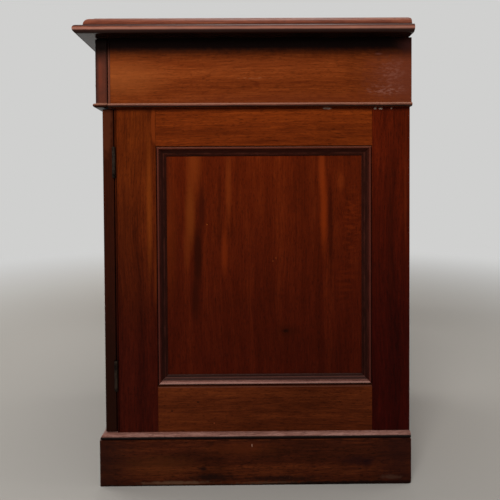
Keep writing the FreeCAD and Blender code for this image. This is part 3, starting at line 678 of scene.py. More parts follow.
# paler copy of the moulding's timber for the length that looks up: painted reflection
SILL_PAINTED_REFLECTION = Timber("mahogany_sill", paint(72, 36, 30), paint(108, 68, 58), paint(140, 102, 92),
              streak=1.0, ribbon=0.05, roughness=0.32, specular=0.18, tint=(1.0, 0.88, 0.82),
              foot_shade=0.0)
# pale pinkish-grey copy of the mahogany for the plinth cap: painted reflection of light from above
CAP_PAINTED_REFLECTION = Timber("mahogany_cap", paint(78, 46, 38), paint(114, 76, 66), paint(142, 104, 94),
             streak=1.2, ribbon=0.05, roughness=0.34, specular=0.16, tint=(1.0, 0.88, 0.80),
             foot_shade=0.0, dirt=0.4)
BEAD = Timber("mahogany_bead", paint(58, 26, 16), paint(92, 46, 32), paint(124, 76, 60),
              streak=1.2, ribbon=0.05, roughness=0.26, specular=0.20, tint=(1.0, 0.88, 0.80),
              foot_shade=0.0)
PLINTH = Timber("mahogany_plinth", paint(32, 11, 5), paint(56, 21, 9), paint(82, 36, 15),
                streak=0.8, pores=0.65, dirt=0.85, scuffs=0.12, roughness=0.38, foot_shade=0.0)
TOP = Timber("mahogany_top", paint(72, 30, 18), paint(104, 52, 34), paint(134, 78, 54),
             ribbon=0.14, roughness=0.34, specular=0.16, tint=(1.0, 0.85, 0.78), foot_shade=0.0)
# darker copy of the top's timber for the faces that look down: painted shade
SHADED_UNDERSIDE = Timber("mahogany_underside", paint(20, 7, 4), paint(30, 11, 6), paint(42, 18, 10),
                   roughness=0.16, specular=0.5, tint=(1.0, 0.95, 0.92), foot_shade=0.0)
KNOB = Timber("knob_wood", paint(40, 12, 4), paint(76, 28, 9), paint(112, 50, 20),
              ribbon=0.10, roughness=0.24, specular=0.14, tint=(1.0, 0.85, 0.75), foot_shade=0.2)
CARCASS = Timber("carcass_wood", paint(92, 54, 26), paint(128, 82, 44), paint(156, 106, 62),
                 ribbon=0.10, roughness=0.62, specular=0.2, tint=(1.0, 0.85, 0.7), foot_shade=0.0,
                 pores=0.4)
LINING = Timber("drawer_lining", paint(120, 78, 42), paint(160, 114, 68), paint(188, 144, 94),
                ribbon=0.10, roughness=0.58, specular=0.25, tint=(1.0, 0.9, 0.8), foot_shade=0.0,
                pores=0.5, dirt=0.35)
BRASS = Metal("aged_brass", paint(150, 118, 66), paint(62, 46, 28), 0.85, 0.34)
BRONZE = Metal("hinge_bronze", paint(62, 50, 42), paint(22, 17, 15), 0.9, 0.45)
STEEL = Metal("lock_steel", paint(140, 138, 134), paint(66, 58, 52), 0.6, 0.36)


LOG_PLACES = 40
LOG_STEP = (1.37, 0.71, 0.53)
WELD = 1e-6
FACING_LIMIT = 0.01
MIDDLE = 0.4  # parts the upper boards of a pedestal from the lower ones, and the outer from the inner


def linked(name: str, data: bpy.types.ID) -> Piece:
    """Adds an object to the scene.

    Args:
        name: The object's name.
        data: Its mesh, lamp or camera.

    Returns:
        The object.
    """
    piece = bpy.data.objects.new(name, data)
    bpy.context.scene.collection.objects.link(piece)
    return piece


@dataclass
class Board:
    """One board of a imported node: its faces, and the corners of its box."""

    faces: list[int]
    low: Vector
    high: Vector

    @property
    def size(self) -> Vector:
        """The board's sizes."""
        return self.high - self.low

    @property
    def centre(self) -> Vector:
        """The board's middle."""
        return (self.low + self.high) / 2

    @property
    def role(self) -> str:
        """Whether the board is a thin facing strip on a front edge."""
        return "facing" if self.size.y < FACING_LIMIT else "board"

    @property
    def grain(self) -> Grain:
        """The grain runs along the board's longest side."""
        sizes = list(self.size)
        return (Grain.LENGTHWISE, Grain.FRONT_TO_BACK, Grain.UPRIGHT)[sizes.index(max(sizes))]


def corners_of(points: Sequence[Vector]) -> tuple[Vector, Vector]:
    """The low and high corners of the box round some points."""
    return tuple(Vector([pick(p[axis] for p in points) for axis in range(3)]) for pick in (min, max))


def seed_of(board: Board) -> int:
    """The place in the log, from 1 on, that a board is cut from, so that no two boards look the same."""
    x, y, z = board.centre
    return 1 + int(abs(x * 97 + y * 61 + z * 173) * 1.7 + (7 if x > 0 else 0)) % LOG_PLACES


class Bench:
    """Steps of modelling that several sub-assemblies share."""

    @staticmethod
    def clear() -> None:
        """Leaves edit mode and deselects everything."""
        if bpy.context.object and bpy.context.object.mode != "OBJECT":
            bpy.ops.object.mode_set(mode="OBJECT")
        bpy.ops.object.select_all(action="DESELECT")

    @classmethod
    def edit(cls, piece: Piece, kind: str | None = None) -> None:
        """Opens a piece in edit mode with all of it selected.

        Args:
            piece: The piece.
            kind: What is then picked: VERT, EDGE or FACE.
        """
        cls.clear()
        piece.select_set(True)
        bpy.context.view_layer.objects.active = piece
        bpy.ops.object.mode_set(mode="EDIT")
        if kind:
            bpy.ops.mesh.select_mode(type=kind)
        bpy.ops.mesh.select_all(action="SELECT")

    @staticmethod
    def finish(smooth: float | None = None, consistent: bool = True) -> None:
        """Turns the faces outward, leaves edit mode and smooths the flatter edges.

        Args:
            smooth: Angle in degrees up to which edges are smoothed.
            consistent: Whether the faces are turned outward.
        """
        if consistent:
            bpy.ops.mesh.select_all(action="SELECT")
            bpy.ops.mesh.normals_make_consistent(inside=False)
        bpy.ops.object.mode_set(mode="OBJECT")
        if smooth is not None:
            bpy.ops.object.shade_smooth_by_angle(angle=math.radians(smooth))

    @staticmethod
    def named(name: str, scale: Point = (1.0, 1.0, 1.0)) -> Piece:
        """Names the piece just added, scales it and leaves its origin at the shared one.

        Args:
            name: The piece's name.
            scale: How far it is scaled along each axis.

        Returns:
            The piece.
        """
        piece = bpy.context.object
        piece.name = piece.data.name = name
        piece.scale = scale
        bpy.ops.object.transform_apply(location=True, rotation=True, scale=True)
        return piece

    @staticmethod
    def boards(node: str) -> list[Board]:
        """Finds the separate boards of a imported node, each of which closes before the next begins.

        Args:
            node: The node's name.

        Returns:
            The boards, in order of their boxes.
        """
        mesh = frame["nodes"][node].data
        known: dict[tuple[int, ...], int] = {}
        corner = [known.setdefault(tuple(round(c * 1e5) for c in v.co), len(known)) for v in mesh.vertices]
        waiting: set[tuple[int, int]] = set()
        faces: list[int] = []
        made = []
        for face in mesh.polygons:
            faces.append(face.index)
            ring = [corner[i] for i in face.vertices]
            for a, b in zip(ring, ring[1:] + ring[:1]) if len(set(ring)) == 3 else ():
                if (b, a) in waiting:
                    waiting.discard((b, a))
                else:
                    waiting.add((a, b))
            if not waiting:
                points = [mesh.vertices[i].co for f in faces for i in mesh.polygons[f].vertices]
                made.append(Board(faces, *corners_of(points)))
                faces = []
        return sorted(made, key=lambda b: tuple(round(c, 3) for c in (*b.low, *b.high)))

    @classmethod
    def lift(cls, node: str, names: Callable[[Board], str], ease: float,
             finish: Callable[[Board, str], Finishes], body: str, slot: str) -> list[Piece]:
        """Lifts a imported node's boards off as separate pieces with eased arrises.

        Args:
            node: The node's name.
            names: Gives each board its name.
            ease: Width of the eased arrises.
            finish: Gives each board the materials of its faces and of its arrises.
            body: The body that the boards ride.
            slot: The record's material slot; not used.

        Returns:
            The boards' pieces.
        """
        found = cls.boards(node)
        mesh = frame["nodes"][node].data.copy()
        whole = linked(f"{node}_whole", mesh)
        mesh.materials.clear()
        for n, board in enumerate(found):
            mesh.materials.append(bpy.data.materials.new(f"board_{n}"))
            for face in board.faces:
                mesh.polygons[face].material_index = n
        before = set(bpy.data.objects)
        cls.edit(whole)
        bpy.ops.mesh.separate(type="MATERIAL")
        cls.finish(consistent=False)
        parts = [whole, *(set(bpy.data.objects) - before)]
        for part in parts:
            low, high = corners_of([v.co for v in part.data.vertices])
            board = min(found, key=lambda b: (b.centre - (low + high) / 2).length)
            part.name = part.data.name = names(board)
            finishes = finish(board, names(board))
            part.data.materials.clear()
            for material in finishes:
                part.data.materials.append(material)
            cls.ease(part, ease)
            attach(part, body)
            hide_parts(node)
        log.info("lifted %s", node)
        return parts

    @staticmethod
    def mitred(face: bmesh.types.BMFace) -> bool:
        """Whether a face is a board's mitre, which looks half way between X and Y."""
        x, y, z = (abs(share) for share in face.normal)
        return abs(x - y) < 0.02 and z < 0.1 and face.calc_area() > 0.001

    @classmethod
    def ease(cls, piece: Piece, width: float, shortest: float = 0.012, sharp: float = 50.0) -> None:
        """Merges a piece's loose faces and takes the arrises off its long edges.

        Args:
            piece: The piece.
            width: Width of the easing.
            shortest: Length up to which edges are left as they are.
            sharp: Angle in degrees up to which edges are left as they are.
        """
        cls.edit(piece)
        bpy.ops.mesh.customdata_custom_splitnormals_clear()
        bpy.ops.mesh.remove_doubles(threshold=2 * WELD)
        bpy.ops.mesh.dissolve_limited(angle_limit=math.radians(0.4))
        bpy.ops.mesh.select_mode(type="EDGE")
        bpy.ops.mesh.select_all(action="DESELECT")
        shape = bmesh.from_edit_mesh(piece.data)
        for face in shape.faces:
            face.material_index = 0
            face.smooth = False
        for edge in shape.edges:
            if len(edge.link_faces) == 2 and edge.is_convex and edge.calc_length() > shortest:
                mitre = any(cls.mitred(face) for face in edge.link_faces)
                edge.select_set(not mitre and edge.calc_face_angle() > math.radians(sharp))
        bmesh.update_edit_mesh(piece.data)
        bpy.ops.mesh.bevel(offset=width, segments=1, affect="EDGES", clamp_overlap=False, material=1)
        cls.finish(28, consistent=False)

    @staticmethod
    def dress(node: str, finish: Callable[[Board], Material]) -> None:
        """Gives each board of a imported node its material.

        Args:
            node: The node's name.
            finish: Picks a board's material.
        """
        mesh = frame["nodes"][node].data
        mesh.materials.clear()
        slots: dict[str, int] = {}
        for board in Bench.boards(node):
            material = finish(board)
            if material.name not in slots:
                slots[material.name] = len(slots)
                mesh.materials.append(material)
            for face in board.faces:
                mesh.polygons[face].material_index = slots[material.name]
        log.info("dressed %s", node)


@dataclass
class PlainBoards:
    """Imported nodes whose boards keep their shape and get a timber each."""

    timber: Timber
    nodes: tuple[str, ...]
    marks: Marks = ()

    def build(self) -> None:
        """Dresses each node."""
        for node in self.nodes:
            Bench.dress(node, lambda board: self.timber.on(board, self.marks))


@dataclass
class Fittings:
    """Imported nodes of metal."""

    metal: Metal
    nodes: tuple[str, ...]

    def build(self) -> None:
        """Dresses each node."""
        for node in self.nodes:
            Bench.dress(node, lambda board: self.metal.material())


@dataclass
class PanelMoulding:
    """The mitred moulding round a panel, with dust and painted shade in its hollows and painted highlights on
    its crest.
    """

    node: str
    outward: Point
    floor: float
    height: float = 0.007
    timber: Timber = MOULDING
    lowest: Timber = SILL_PAINTED_REFLECTION

    def build(self) -> None:
        """Dresses the four lengths, of which the lowest looks up and gets a paler timber as painted
        reflection.
        """
        lie = Hollows(self.outward, self.floor, self.height)
        lengths = Bench.boards(self.node)
        foot = min(board.centre.z for board in lengths) + 0.001
        head = max(board.high.z for board in lengths)

        def finish(board: Board) -> Material:
            """Picks the timber of a length.

            Args:
                board: The length.

            Returns:
                The timber, with the length's marks.
            """
            x, y, z = board.centre.x, board.centre.y, board.high.z
            timber = self.timber
            # painted highlight along the crest of the upper length
            marks = (line_mark((x, y, head), 0.0030, paint(126, 82, 66), 0.60, 0.20, 0.3),)
            if board.centre.z <= foot:
                timber = self.lowest
                # painted shade beside the panel on the lowest length, and a painted highlight on its inner
                # bead
                marks = (line_mark((x, y, z), 0.0105, paint(30, 8, 4), 0.90, 0.06, 0.74),
                         line_mark((x, y, z - 0.0052), 0.0012, paint(84, 48, 40), 0.50, 0.10, 0.4))
            return timber.material(board.grain, seed_of(board) + LOG_PLACES, marks, lie)

        Bench.dress(self.node, finish)


@dataclass
class TopBoard:
    """The top: a border mitred at its front corners, moulded on three sides, round the leather's bed."""

    nose: float = 0.0069
    ledge: float = 0.0128
    ovolo: float = 0.0132
    fillet_drop: float = 0.0017
    ease: float = 0.0005
    arc_steps: int = 9
    timber: Timber = TOP
    underside: Timber = SHADED_UNDERSIDE

    def section(self) -> list[tuple[float, float]]:
        """Draws the moulded edge from the top face down.

        Returns:
            Its points, as distances in from the nose and down from the top.
        """
        spring = self.ledge + self.ovolo
        low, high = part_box("top_board")
        thick = high.z - low.z
        points = [(spring + self.ease, 0.0), (spring, self.ease), (spring, self.fillet_drop)]
        for n in range(1, self.arc_steps + 1):
            turn = math.pi / 2 * n / self.arc_steps
            across, down = math.sin(turn), 1 - math.cos(turn)
            points.append((spring - self.ovolo * across, self.fillet_drop + self.ovolo * down))
        points.append((self.ledge, thick - 2 * self.nose))
        for n in range(2 * self.arc_steps + 1):
            turn = math.pi * n / (2 * self.arc_steps)
            points.append((self.nose * (1 - math.sin(turn)), thick - self.nose * (1 + math.cos(turn))))
        return points

    @staticmethod
    def ring(left: float, right: float, front: float, back: float, z: float) -> list[Vector]:
        """Four corners at one level, anticlockwise from the front left."""
        return [Vector((left, front, z)), Vector((right, front, z)),
                Vector((right, back, z)), Vector((left, back, z))]

    def rings(self) -> list[list[Vector]]:
        """Works the rings out from the leather's bed over the moulding.

        Returns:
            The corners of each ring.
        """
        low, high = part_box("writing_leather")
        top_low, top_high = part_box("top_board")
        grow = self.ease / 2
        rings = [self.ring(low.x, high.x, low.y, high.y, low.z),
                 self.ring(low.x, high.x, low.y, high.y, high.z - grow),
                 self.ring(low.x - grow, high.x + grow, low.y - grow, high.y + grow, high.z)]
        for inset, drop in self.section():
            x = top_high.x - inset
            rings.append(self.ring(-x, x, top_low.y + inset, top_high.y, top_high.z - drop))
        return rings

    def build(self) -> None:
        """Extrudes ring after ring from the leather's bed out over the moulding and underneath."""
        rings = self.rings()
        Bench.clear()
        bpy.ops.mesh.primitive_plane_add(size=1.0, location=(0, 0, rings[0][0].z))
        piece = Bench.named("moulded_top")
        Bench.edit(piece, "EDGE")
        self.place(piece, rings[0])
        bpy.ops.mesh.delete(type="ONLY_FACE")
        bpy.ops.mesh.select_all(action="SELECT")
        for ring in rings[1:]:
            bpy.ops.mesh.extrude_edges_move()
            self.place(piece, ring)
        bpy.ops.mesh.edge_face_add()
        bpy.ops.mesh.select_all(action="SELECT")
        bpy.ops.mesh.remove_doubles(threshold=WELD)
        bpy.ops.mesh.select_all(action="DESELECT")
        bpy.ops.mesh.select_non_manifold()
        bpy.ops.mesh.edge_face_add()
        Bench.finish()
        self.dress(piece)
        bpy.ops.object.shade_smooth_by_angle(angle=math.radians(25))
        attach(piece, "root")
        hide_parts("top_board")

    @staticmethod
    def place(piece: Piece, ring: Sequence[Vector]) -> None:
        """Puts the four selected corners where a ring has them.

        Args:
            piece: The top in edit mode.
            ring: The ring's corners.
        """
        shape = bmesh.from_edit_mesh(piece.data)
        chosen = [v for v in shape.verts if v.select]
        middle = sum((v.co for v in chosen), Vector()) / len(chosen)
        for vert in chosen:
            left, front = vert.co.x < middle.x, vert.co.y < middle.y
            vert.co = ring[(0 if left else 1) if front else (3 if left else 2)]
        bmesh.update_edit_mesh(piece.data)

    def dress(self, piece: Piece) -> None:
        """Runs the grain along each side of the border, paints shade into the fold above the nose and under
        the nose, paints a highlight along the nose, and gives the faces that look down a darker timber as
        painted shade.

        Args:
            piece: The top.
        """
        low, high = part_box("top_board")
        nose, ledge = low.z + self.nose - 0.0006, low.z + 2 * self.nose
        inner_x, inner_y = high.x - self.nose, high.y - self.nose
        across, along = 0.02, 2.0
        sides = ((3, Grain.LENGTHWISE, 0, -1), (11, Grain.FRONT_TO_BACK, 1, 0),
                 (5, Grain.FRONT_TO_BACK, -1, 0), (8, Grain.LENGTHWISE, 0, 1))
        for seed, grain, x, y in sides:
            reach = (across if x else along, across if y else along)
            fold = (inner_x * x, inner_y * y, ledge)
            rows = (
                # painted shade in the fold between the ovolo and the nose
                (fold, 0.0100, paint(72, 34, 22), 0.45, 0.10, 0.1),
                (fold, 0.0052, paint(44, 16, 8), 0.92, 0.10, 0.6),
                # painted highlight along the middle of the nose
                ((high.x * x, high.y * y, nose), 0.0034, paint(176, 128, 112), 0.40, 0.15, 0.1),
                # painted shade on the nose's lower half
                ((high.x * x, high.y * y, low.z), 0.0060, paint(24, 11, 9), 0.95, 0.10, 0.6),
            )
            marks = [Mark(place, (*reach, tall), colour, *rest) for place, tall, colour, *rest in rows]
            piece.data.materials.append(self.timber.material(grain, seed, marks))
        # the faces that look down take the darker timber: painted shade
        piece.data.materials.append(self.underside.material(Grain.LENGTHWISE, 14))
        for face in piece.data.polygons:
            xs = [piece.data.vertices[i].co.x for i in face.vertices]
            if face.normal.z < -0.95:
                face.material_index = 4
            elif min(xs) > 0:
                face.material_index = 1
            elif max(xs) < 0:
                face.material_index = 2
            elif face.center.y > 0:
                face.material_index = 3


@dataclass
class WritingLeather:
    """The leather, with two gilt lines and a blind one tooled round its border."""

    corner: float = 0.004
    lines: tuple[tuple[float, float, int], ...] = ((0.014, 0.0012, 1), (0.004, 0.0026, 1), (0.011, 0.0008, 2))
    depth: float = 0.0002

    def build(self) -> None:
        """Insets the tooled lines into a plane of the leather's size and gives it thickness."""
        low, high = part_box("writing_leather")
        Bench.clear()
        middle = ((low.x + high.x) / 2, (low.y + high.y) / 2, high.z)
        bpy.ops.mesh.primitive_plane_add(size=1.0, location=middle)
        piece = Bench.named("tooled_leather", (high.x - low.x, high.y - low.y, 1.0))
        for name, share, gilt in (("writing_leather", 1.0, 0.0), ("gilt_tooling", 1.0, 0.9),
                                  ("blind_tooling", 0.55, 0.0)):
            dark, light = dim(paint(26, 38, 27), share), dim(paint(44, 60, 42), share)
            piece.data.materials.append(Hide(name, dark, light, gilt).material())
        Bench.edit(piece, "FACE")
        for apart, width, finish in self.lines:
            bpy.ops.mesh.inset(thickness=apart, use_boundary=True)
            bpy.ops.mesh.inset(thickness=width / 4, use_boundary=True)
            outer = self.sink(piece, -self.depth)
            bpy.ops.mesh.inset(thickness=width, use_boundary=True)
            self.finish_ring(piece, outer, finish)
            bpy.ops.mesh.inset(thickness=width / 4, use_boundary=True)
            self.sink(piece, self.depth)
        bpy.ops.mesh.select_mode(type="VERT")
        bpy.ops.mesh.select_all(action="DESELECT")
        shape = bmesh.from_edit_mesh(piece.data)
        for vert in shape.verts:
            vert.select_set(abs(vert.co.x) > high.x - self.corner)
        bmesh.update_edit_mesh(piece.data)
        bpy.ops.mesh.bevel(offset=self.corner, segments=4, affect="VERTICES")
        bpy.ops.mesh.select_all(action="SELECT")
        bpy.ops.mesh.extrude_region_move(TRANSFORM_OT_translate={"value": (0, 0, low.z - high.z)})
        Bench.finish()
        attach(piece, "root")
        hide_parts("writing_leather")

    @staticmethod
    def sink(piece: Piece, rise: float) -> set[int]:
        """Moves the selected faces up or down.

        Args:
            piece: The leather in edit mode.
            rise: How far they go up.

        Returns:
            The numbers of their vertices.
        """
        shape = bmesh.from_edit_mesh(piece.data)
        chosen = [vert for vert in shape.verts if vert.select]
        for vert in chosen:
            vert.co.z += rise
        bmesh.update_edit_mesh(piece.data)
        return {vert.index for vert in chosen}

    @staticmethod
    def finish_ring(piece: Piece, outer: set[int], finish: int) -> None:
        """Gives the ring of faces round the selected face a tooled line's finish.

        Args:
            piece: The leather in edit mode.
            outer: The numbers of the vertices outside the ring.
            finish: The material's number.
        """
        shape = bmesh.from_edit_mesh(piece.data)
        for face in shape.faces:
            inside = [v for v in face.verts if v.select]
            if len(face.verts) == 4 and len(inside) == 2 and not face.select:
                if all(v.index in outer or v.select for v in face.verts):
                    face.material_index = finish
        bmesh.update_edit_mesh(piece.data)


@dataclass
class TurnedKnob:
    """A turned knob that looks to the front: spigot, collar, waisted neck, rimmed head with a button."""

    name: str
    body: str
    node: str
    board: Board
    face_y: float
    sides: int = 44
    spigot_radius: float = 0.0049
    section: tuple[tuple[float, float], ...] = (
        (0.0, 0.0112), (0.0006, 0.0115), (0.0022, 0.0115), (0.0028, 0.0110), (0.0030, 0.0099),
        (0.0038, 0.0090), (0.0055, 0.0080), (0.0080, 0.0076), (0.0105, 0.0082), (0.0128, 0.0102),
        (0.0142, 0.0134), (0.0152, 0.0160), (0.0165, 0.0181), (0.0180, 0.0193), (0.0195, 0.0196),
        (0.0207, 0.0192), (0.0216, 0.0182), (0.0220, 0.0168), (0.0223, 0.0160), (0.0232, 0.0155),
        (0.0242, 0.0135), (0.0250, 0.0105), (0.0255, 0.0070), (0.0254, 0.0062), (0.0258, 0.0052),
        (0.0260, 0.0028),
    )

    def build(self) -> None:
        """Turns the knob up ring by ring from a disc at the end of its spigot."""
        Bench.clear()
        spigot = self.board.high.y - self.face_y
        start = (self.board.centre.x, self.face_y + spigot, self.board.centre.z)
        bpy.ops.mesh.primitive_circle_add(vertices=self.sides, radius=self.spigot_radius, fill_type="NGON",
                                          location=start, rotation=(math.pi / 2, 0, 0))
        piece = Bench.named(self.name)
        Bench.edit(piece, "FACE")
        rings = ((-spigot, self.spigot_radius), (0.0, self.spigot_radius), *self.section)
        for (height, radius), (next_height, next_radius) in zip(rings, rings[1:]):
            bpy.ops.mesh.extrude_region_move(TRANSFORM_OT_translate={"value": (0, height - next_height, 0)})
            share = next_radius / radius
            bpy.ops.transform.resize(value=(share, 1, share), center_override=start)
        Bench.finish(35)
        piece.data.materials.append(KNOB.on(self.board, grain=Grain.FRONT_TO_BACK))
        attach(piece, self.body)
        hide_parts(self.node)


@dataclass
class Drawer:
    """A drawer: its front, its box, its knobs and, where it has one, its lock."""

    name: str
    locked: bool
    front_depth: float
    end: int = 0

    def marks(self, face_y: float) -> Marks:
        """Places the marks on the front: painted highlight and shade along its bead, and at an end that
        shows, marks of wear with the painted shadow under the top.

        Args:
            face_y: Where the front's face is in Y.

        Returns:
            The marks.
        """
        marks: Marks = ()
        if self.end:
            x, z = self.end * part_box("frieze_end_right")[1].x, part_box(f"{self.name}_front")[1].z
            marks = end_marks(
                x,
                (face_y + 0.010, z - 0.05, 0.060, 0.140, (76, 40, 30), 0.85, 0.5, 0.7),
                (face_y + 0.008, z - 0.06, 0.005, 0.040, (104, 46, 30), 0.35, 0.9, 0.2),
                (face_y, z - 0.05, 0.0065, 0.300, (46, 27, 24), 0.85, 0.5, 0.2),
                (face_y + TOP_DRAWER_FRONT, z - 0.05, 0.004, 0.300, (44, 22, 18), 0.60, 0.5, 0.2),
                # painted shadow under the top's overhang
                (face_y, SHADE_TOP, 0.500, 0.0500, (4, 1, 1), 1.0, 0.10, 0.42),
                depth=0.0025,
            )
        if self.locked:
            # painted shade along the middle of the bead
            shade = line_mark((0.0, face_y, BEAD_MIDDLE), 0.0044, paint(44, 21, 15), 0.80, 0.10, 0.75)
            marks += (shade, *BEAD_HIGHLIGHT_AND_SHADE)
        return marks

    def build(self) -> None:
        """Dresses the drawer and turns its knobs."""
        face_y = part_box(f"{self.name}_front")[1].y - self.front_depth
        marks = self.marks(face_y)
        Bench.dress(f"{self.name}_front", lambda board: FRONT.on(board, marks, Grain.LENGTHWISE))
        Bench.dress(f"{self.name}_box", LINING.on)
        for side, board in zip(("left", "right"), Bench.boards(f"{self.name}_knobs")):
            TurnedKnob(f"{self.name}_{side}_knob", self.name, f"{self.name}_knobs", board, face_y).build()
        if self.locked:
            Fittings(BRASS, (f"{self.name}_lock",)).build()
            Fittings(STEEL, (f"{self.name}_lock_bolt",)).build()


@dataclass
class FriezeEnds:
    """The end boards of the top section, with the facing strips on their front edges."""

    ease: float = 0.0005
    # reach and full-strength share of the painted shadow under the top's overhang
    shadow: float = 0.0480
    core: float = 0.40

    def build(self) -> None:
        """Lifts both ends off their nodes."""
        for side, x in (("right", FRIEZE_FACE), ("left", -FRIEZE_FACE)):
            node = f"frieze_end_{side}"
            # painted shadow under the top's overhang, on both ends and their facing strips
            under = end_marks(x, (0.0, SHADE_TOP, ALL_ROUND, self.shadow, (5, 1, 1), 1.0, 0.10, self.core))
            marks = (*FRIEZE_FIGURE, *under, *FRIEZE_WEAR_AND_LIT_SHADOW_EDGE) if side == "right" else under

            def finish(board: Board, name: str) -> Finishes:
                """Picks the timber of a board of the end.

                Args:
                    board: The board.
                    name: Its name; not used.

                Returns:
                    The timber of its faces and of its arrises.
                """
                if board.role == "facing":
                    # painted highlight over the facing strip's rounded edge
                    pale = Mark(tuple(board.centre), (0.1, 0.1, 0.2), paint(96, 58, 46), 0.7, 0.2)
                    return FRIEZE.pair(board, (pale, *under))
                return FRIEZE.pair(board, marks)

            Bench.lift(node, lambda board: f"{node}_{board.role}", self.ease, finish, "root", "mahogany_case")


@dataclass
class FramedEnd:
    """A pedestal's outer end: two stiles, two rails, the facing strip, the panel and its moulding."""

    side: str
    ease: float = 0.0003
    marks: dict[str, Marks] = field(default_factory=dict)
    shades: dict[str, Colour] = field(default_factory=lambda: {
        "front_stile": (1.0, 1.0, 1.0), "back_stile": (0.82, 0.50, 0.62), "top_rail": (1.27, 1.27, 1.27),
        "bottom_rail": (2.38, 4.75, 2.8), "facing": (0.5, 0.5, 0.5)})

    def names(self, board: Board) -> str:
        """Names a board of the frame.

        Args:
            board: The board.

        Returns:
            Its name.
        """
        if board.role == "facing":
            part = "facing"
        elif board.grain is Grain.UPRIGHT:
            part = "front_stile" if board.centre.y < 0 else "back_stile"
        else:
            part = "top_rail" if board.centre.z > MIDDLE else "bottom_rail"
        return f"{self.side}_end_{part}"

    def finish(self, board: Board, name: str) -> Finishes:
        """Picks the timber of a board of the frame.

        Args:
            board: The board.
            name: Its name.

        Returns:
            The timber of its faces and of its arrises.
        """
        part = name.replace(f"{self.side}_end_", "")
        shade = self.shades[part]
        return CASE.on(board, self.marks.get(part, ()), shade=shade), CASE.on(board, worn=True, shade=shade)

    def build(self) -> None:
        """Lifts the frame's boards and dresses the panel and its moulding."""
        Bench.lift(f"{self.side}_end_frame", self.names, self.ease, self.finish, "root", "mahogany_case")
        way = 1.0 if self.side == "right" else -1.0
        marks = self.marks.get("panel", ())
        Bench.dress(f"{self.side}_end_panel", lambda board: PANEL.on(board, marks, Grain.UPRIGHT))
        PanelMoulding(f"{self.side}_end_moulding", (way, 0.0, 0.0), PANEL_FACE).build()


@dataclass
class Plinth:
    """A pedestal's plinth boards and the cap moulding on them."""

    side: str
    ease: float = 0.0009
    marks: Marks = ()
    kicked: float = 0.0
    cuts: int = 4

    def names(self, board: Board) -> str:
        """Names a plinth board.

        Args:
            board: The board.

        Returns:
            Its name.
        """
        if board.grain is Grain.LENGTHWISE:
            part = "front" if board.centre.y < 0 else "back"
        else:
            part = "outer" if abs(board.centre.x) > MIDDLE else "inner"
        return f"{self.side}_plinth_{part}"

    def finish(self, board: Board, name: str) -> Finishes:
        """The timber of a plinth board and of its arrises."""
        return PLINTH.pair(board, self.marks if name.endswith("outer") else ())

    def round_corner(self, board: Piece) -> None:
        """Cuts the lowest back corner of a board round, where feet have worn it.

        Args:
            board: The board's piece.
        """
        low, high = corners_of([v.co for v in board.data.vertices])
        middle = Vector((0.0, high.y - self.kicked, low.z + self.kicked))
        Bench.edit(board)
        for n in range(self.cuts):
            turn = math.pi / 2 * (n + 0.5) / self.cuts
            outward = Vector((0.0, math.cos(turn), -math.sin(turn)))
            bpy.ops.mesh.select_all(action="SELECT")
            bpy.ops.mesh.bisect(plane_co=middle + outward * self.kicked, plane_no=outward, use_fill=True,
                                clear_outer=True)
        Bench.finish(28)

    def build(self) -> None:
        """Lifts the plinth boards, rounds the kicked corner and dresses the cap."""
        boards = Bench.lift(f"{self.side}_plinth", self.names, self.ease, self.finish, "root",
                            "mahogany_plinth")
        if self.kicked:
            self.round_corner(next(board for board in boards if board.name.endswith("outer")))
        # painted shadow in the quirk under the cap
        quirk_shadow = line_mark((0.0, 0.0, CAP_QUIRK), 0.0038, paint(5, 1, 1), 1.0, 0.2, 0.55)
        Bench.dress(f"{self.side}_plinth_cap", lambda board: CAP_PAINTED_REFLECTION.on(board, (quirk_shadow,)))


@dataclass
class CupboardDoor:
    """The door: stiles, rails, panel, moulding, knob, lock and hinge leaves."""

    body: str = "cupboard_door"
    ease: float = 0.0006

    @staticmethod
    def names(board: Board) -> str:
        """Names a board of the door.

        Args:
            board: The board.

        Returns:
            Its name.
        """
        if board.grain is Grain.UPRIGHT:
            return "door_hanging_stile" if board.centre.x > MIDDLE else "door_closing_stile"
        return "door_top_rail" if board.centre.z > MIDDLE else "door_bottom_rail"

    @staticmethod
    def finish(board: Board, name: str) -> Finishes:
        """The timber of a board and of its arrises."""
        return CASE.pair(board, DOOR_EDGE_MARKS if name == "door_hanging_stile" else ())

    def build(self) -> None:
        """Lifts the frame, dresses the panel, moulding and lock, and turns the knob."""
        Bench.lift("door_frame", self.names, self.ease, self.finish, self.body, "mahogany_case")
        Bench.dress("door_panel", lambda board: PANEL.on(board, grain=Grain.UPRIGHT))
        PanelMoulding("door_moulding", (0.0, -1.0, 0.0), -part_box("door_moulding")[1].y).build()
        knob = Bench.boards("door_knob")[0]
        TurnedKnob("door_turned_knob", self.body, "door_knob", knob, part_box("door_frame")[0].y).build()
        Fittings(BRASS, ("door_lock",)).build()
        Fittings(BRONZE, ("hinge_door_leaves", "hinge_carcass_leaves")).build()
        Fittings(STEEL, ("door_lock_bolt",)).build()


@dataclass
class InnerSides:
    """The pedestals' sides towards the kneehole."""

    ease: float = 0.0006

    def build(self) -> None:
        """Lifts both sides."""
        for side in ("left", "right"):
            Bench.lift(f"{side}_inner_side", lambda board: f"{side}_inner_{board.role}", self.ease,
                       lambda board, name: CASE.pair(board, grain=Grain.UPRIGHT), "root", "mahogany_case")


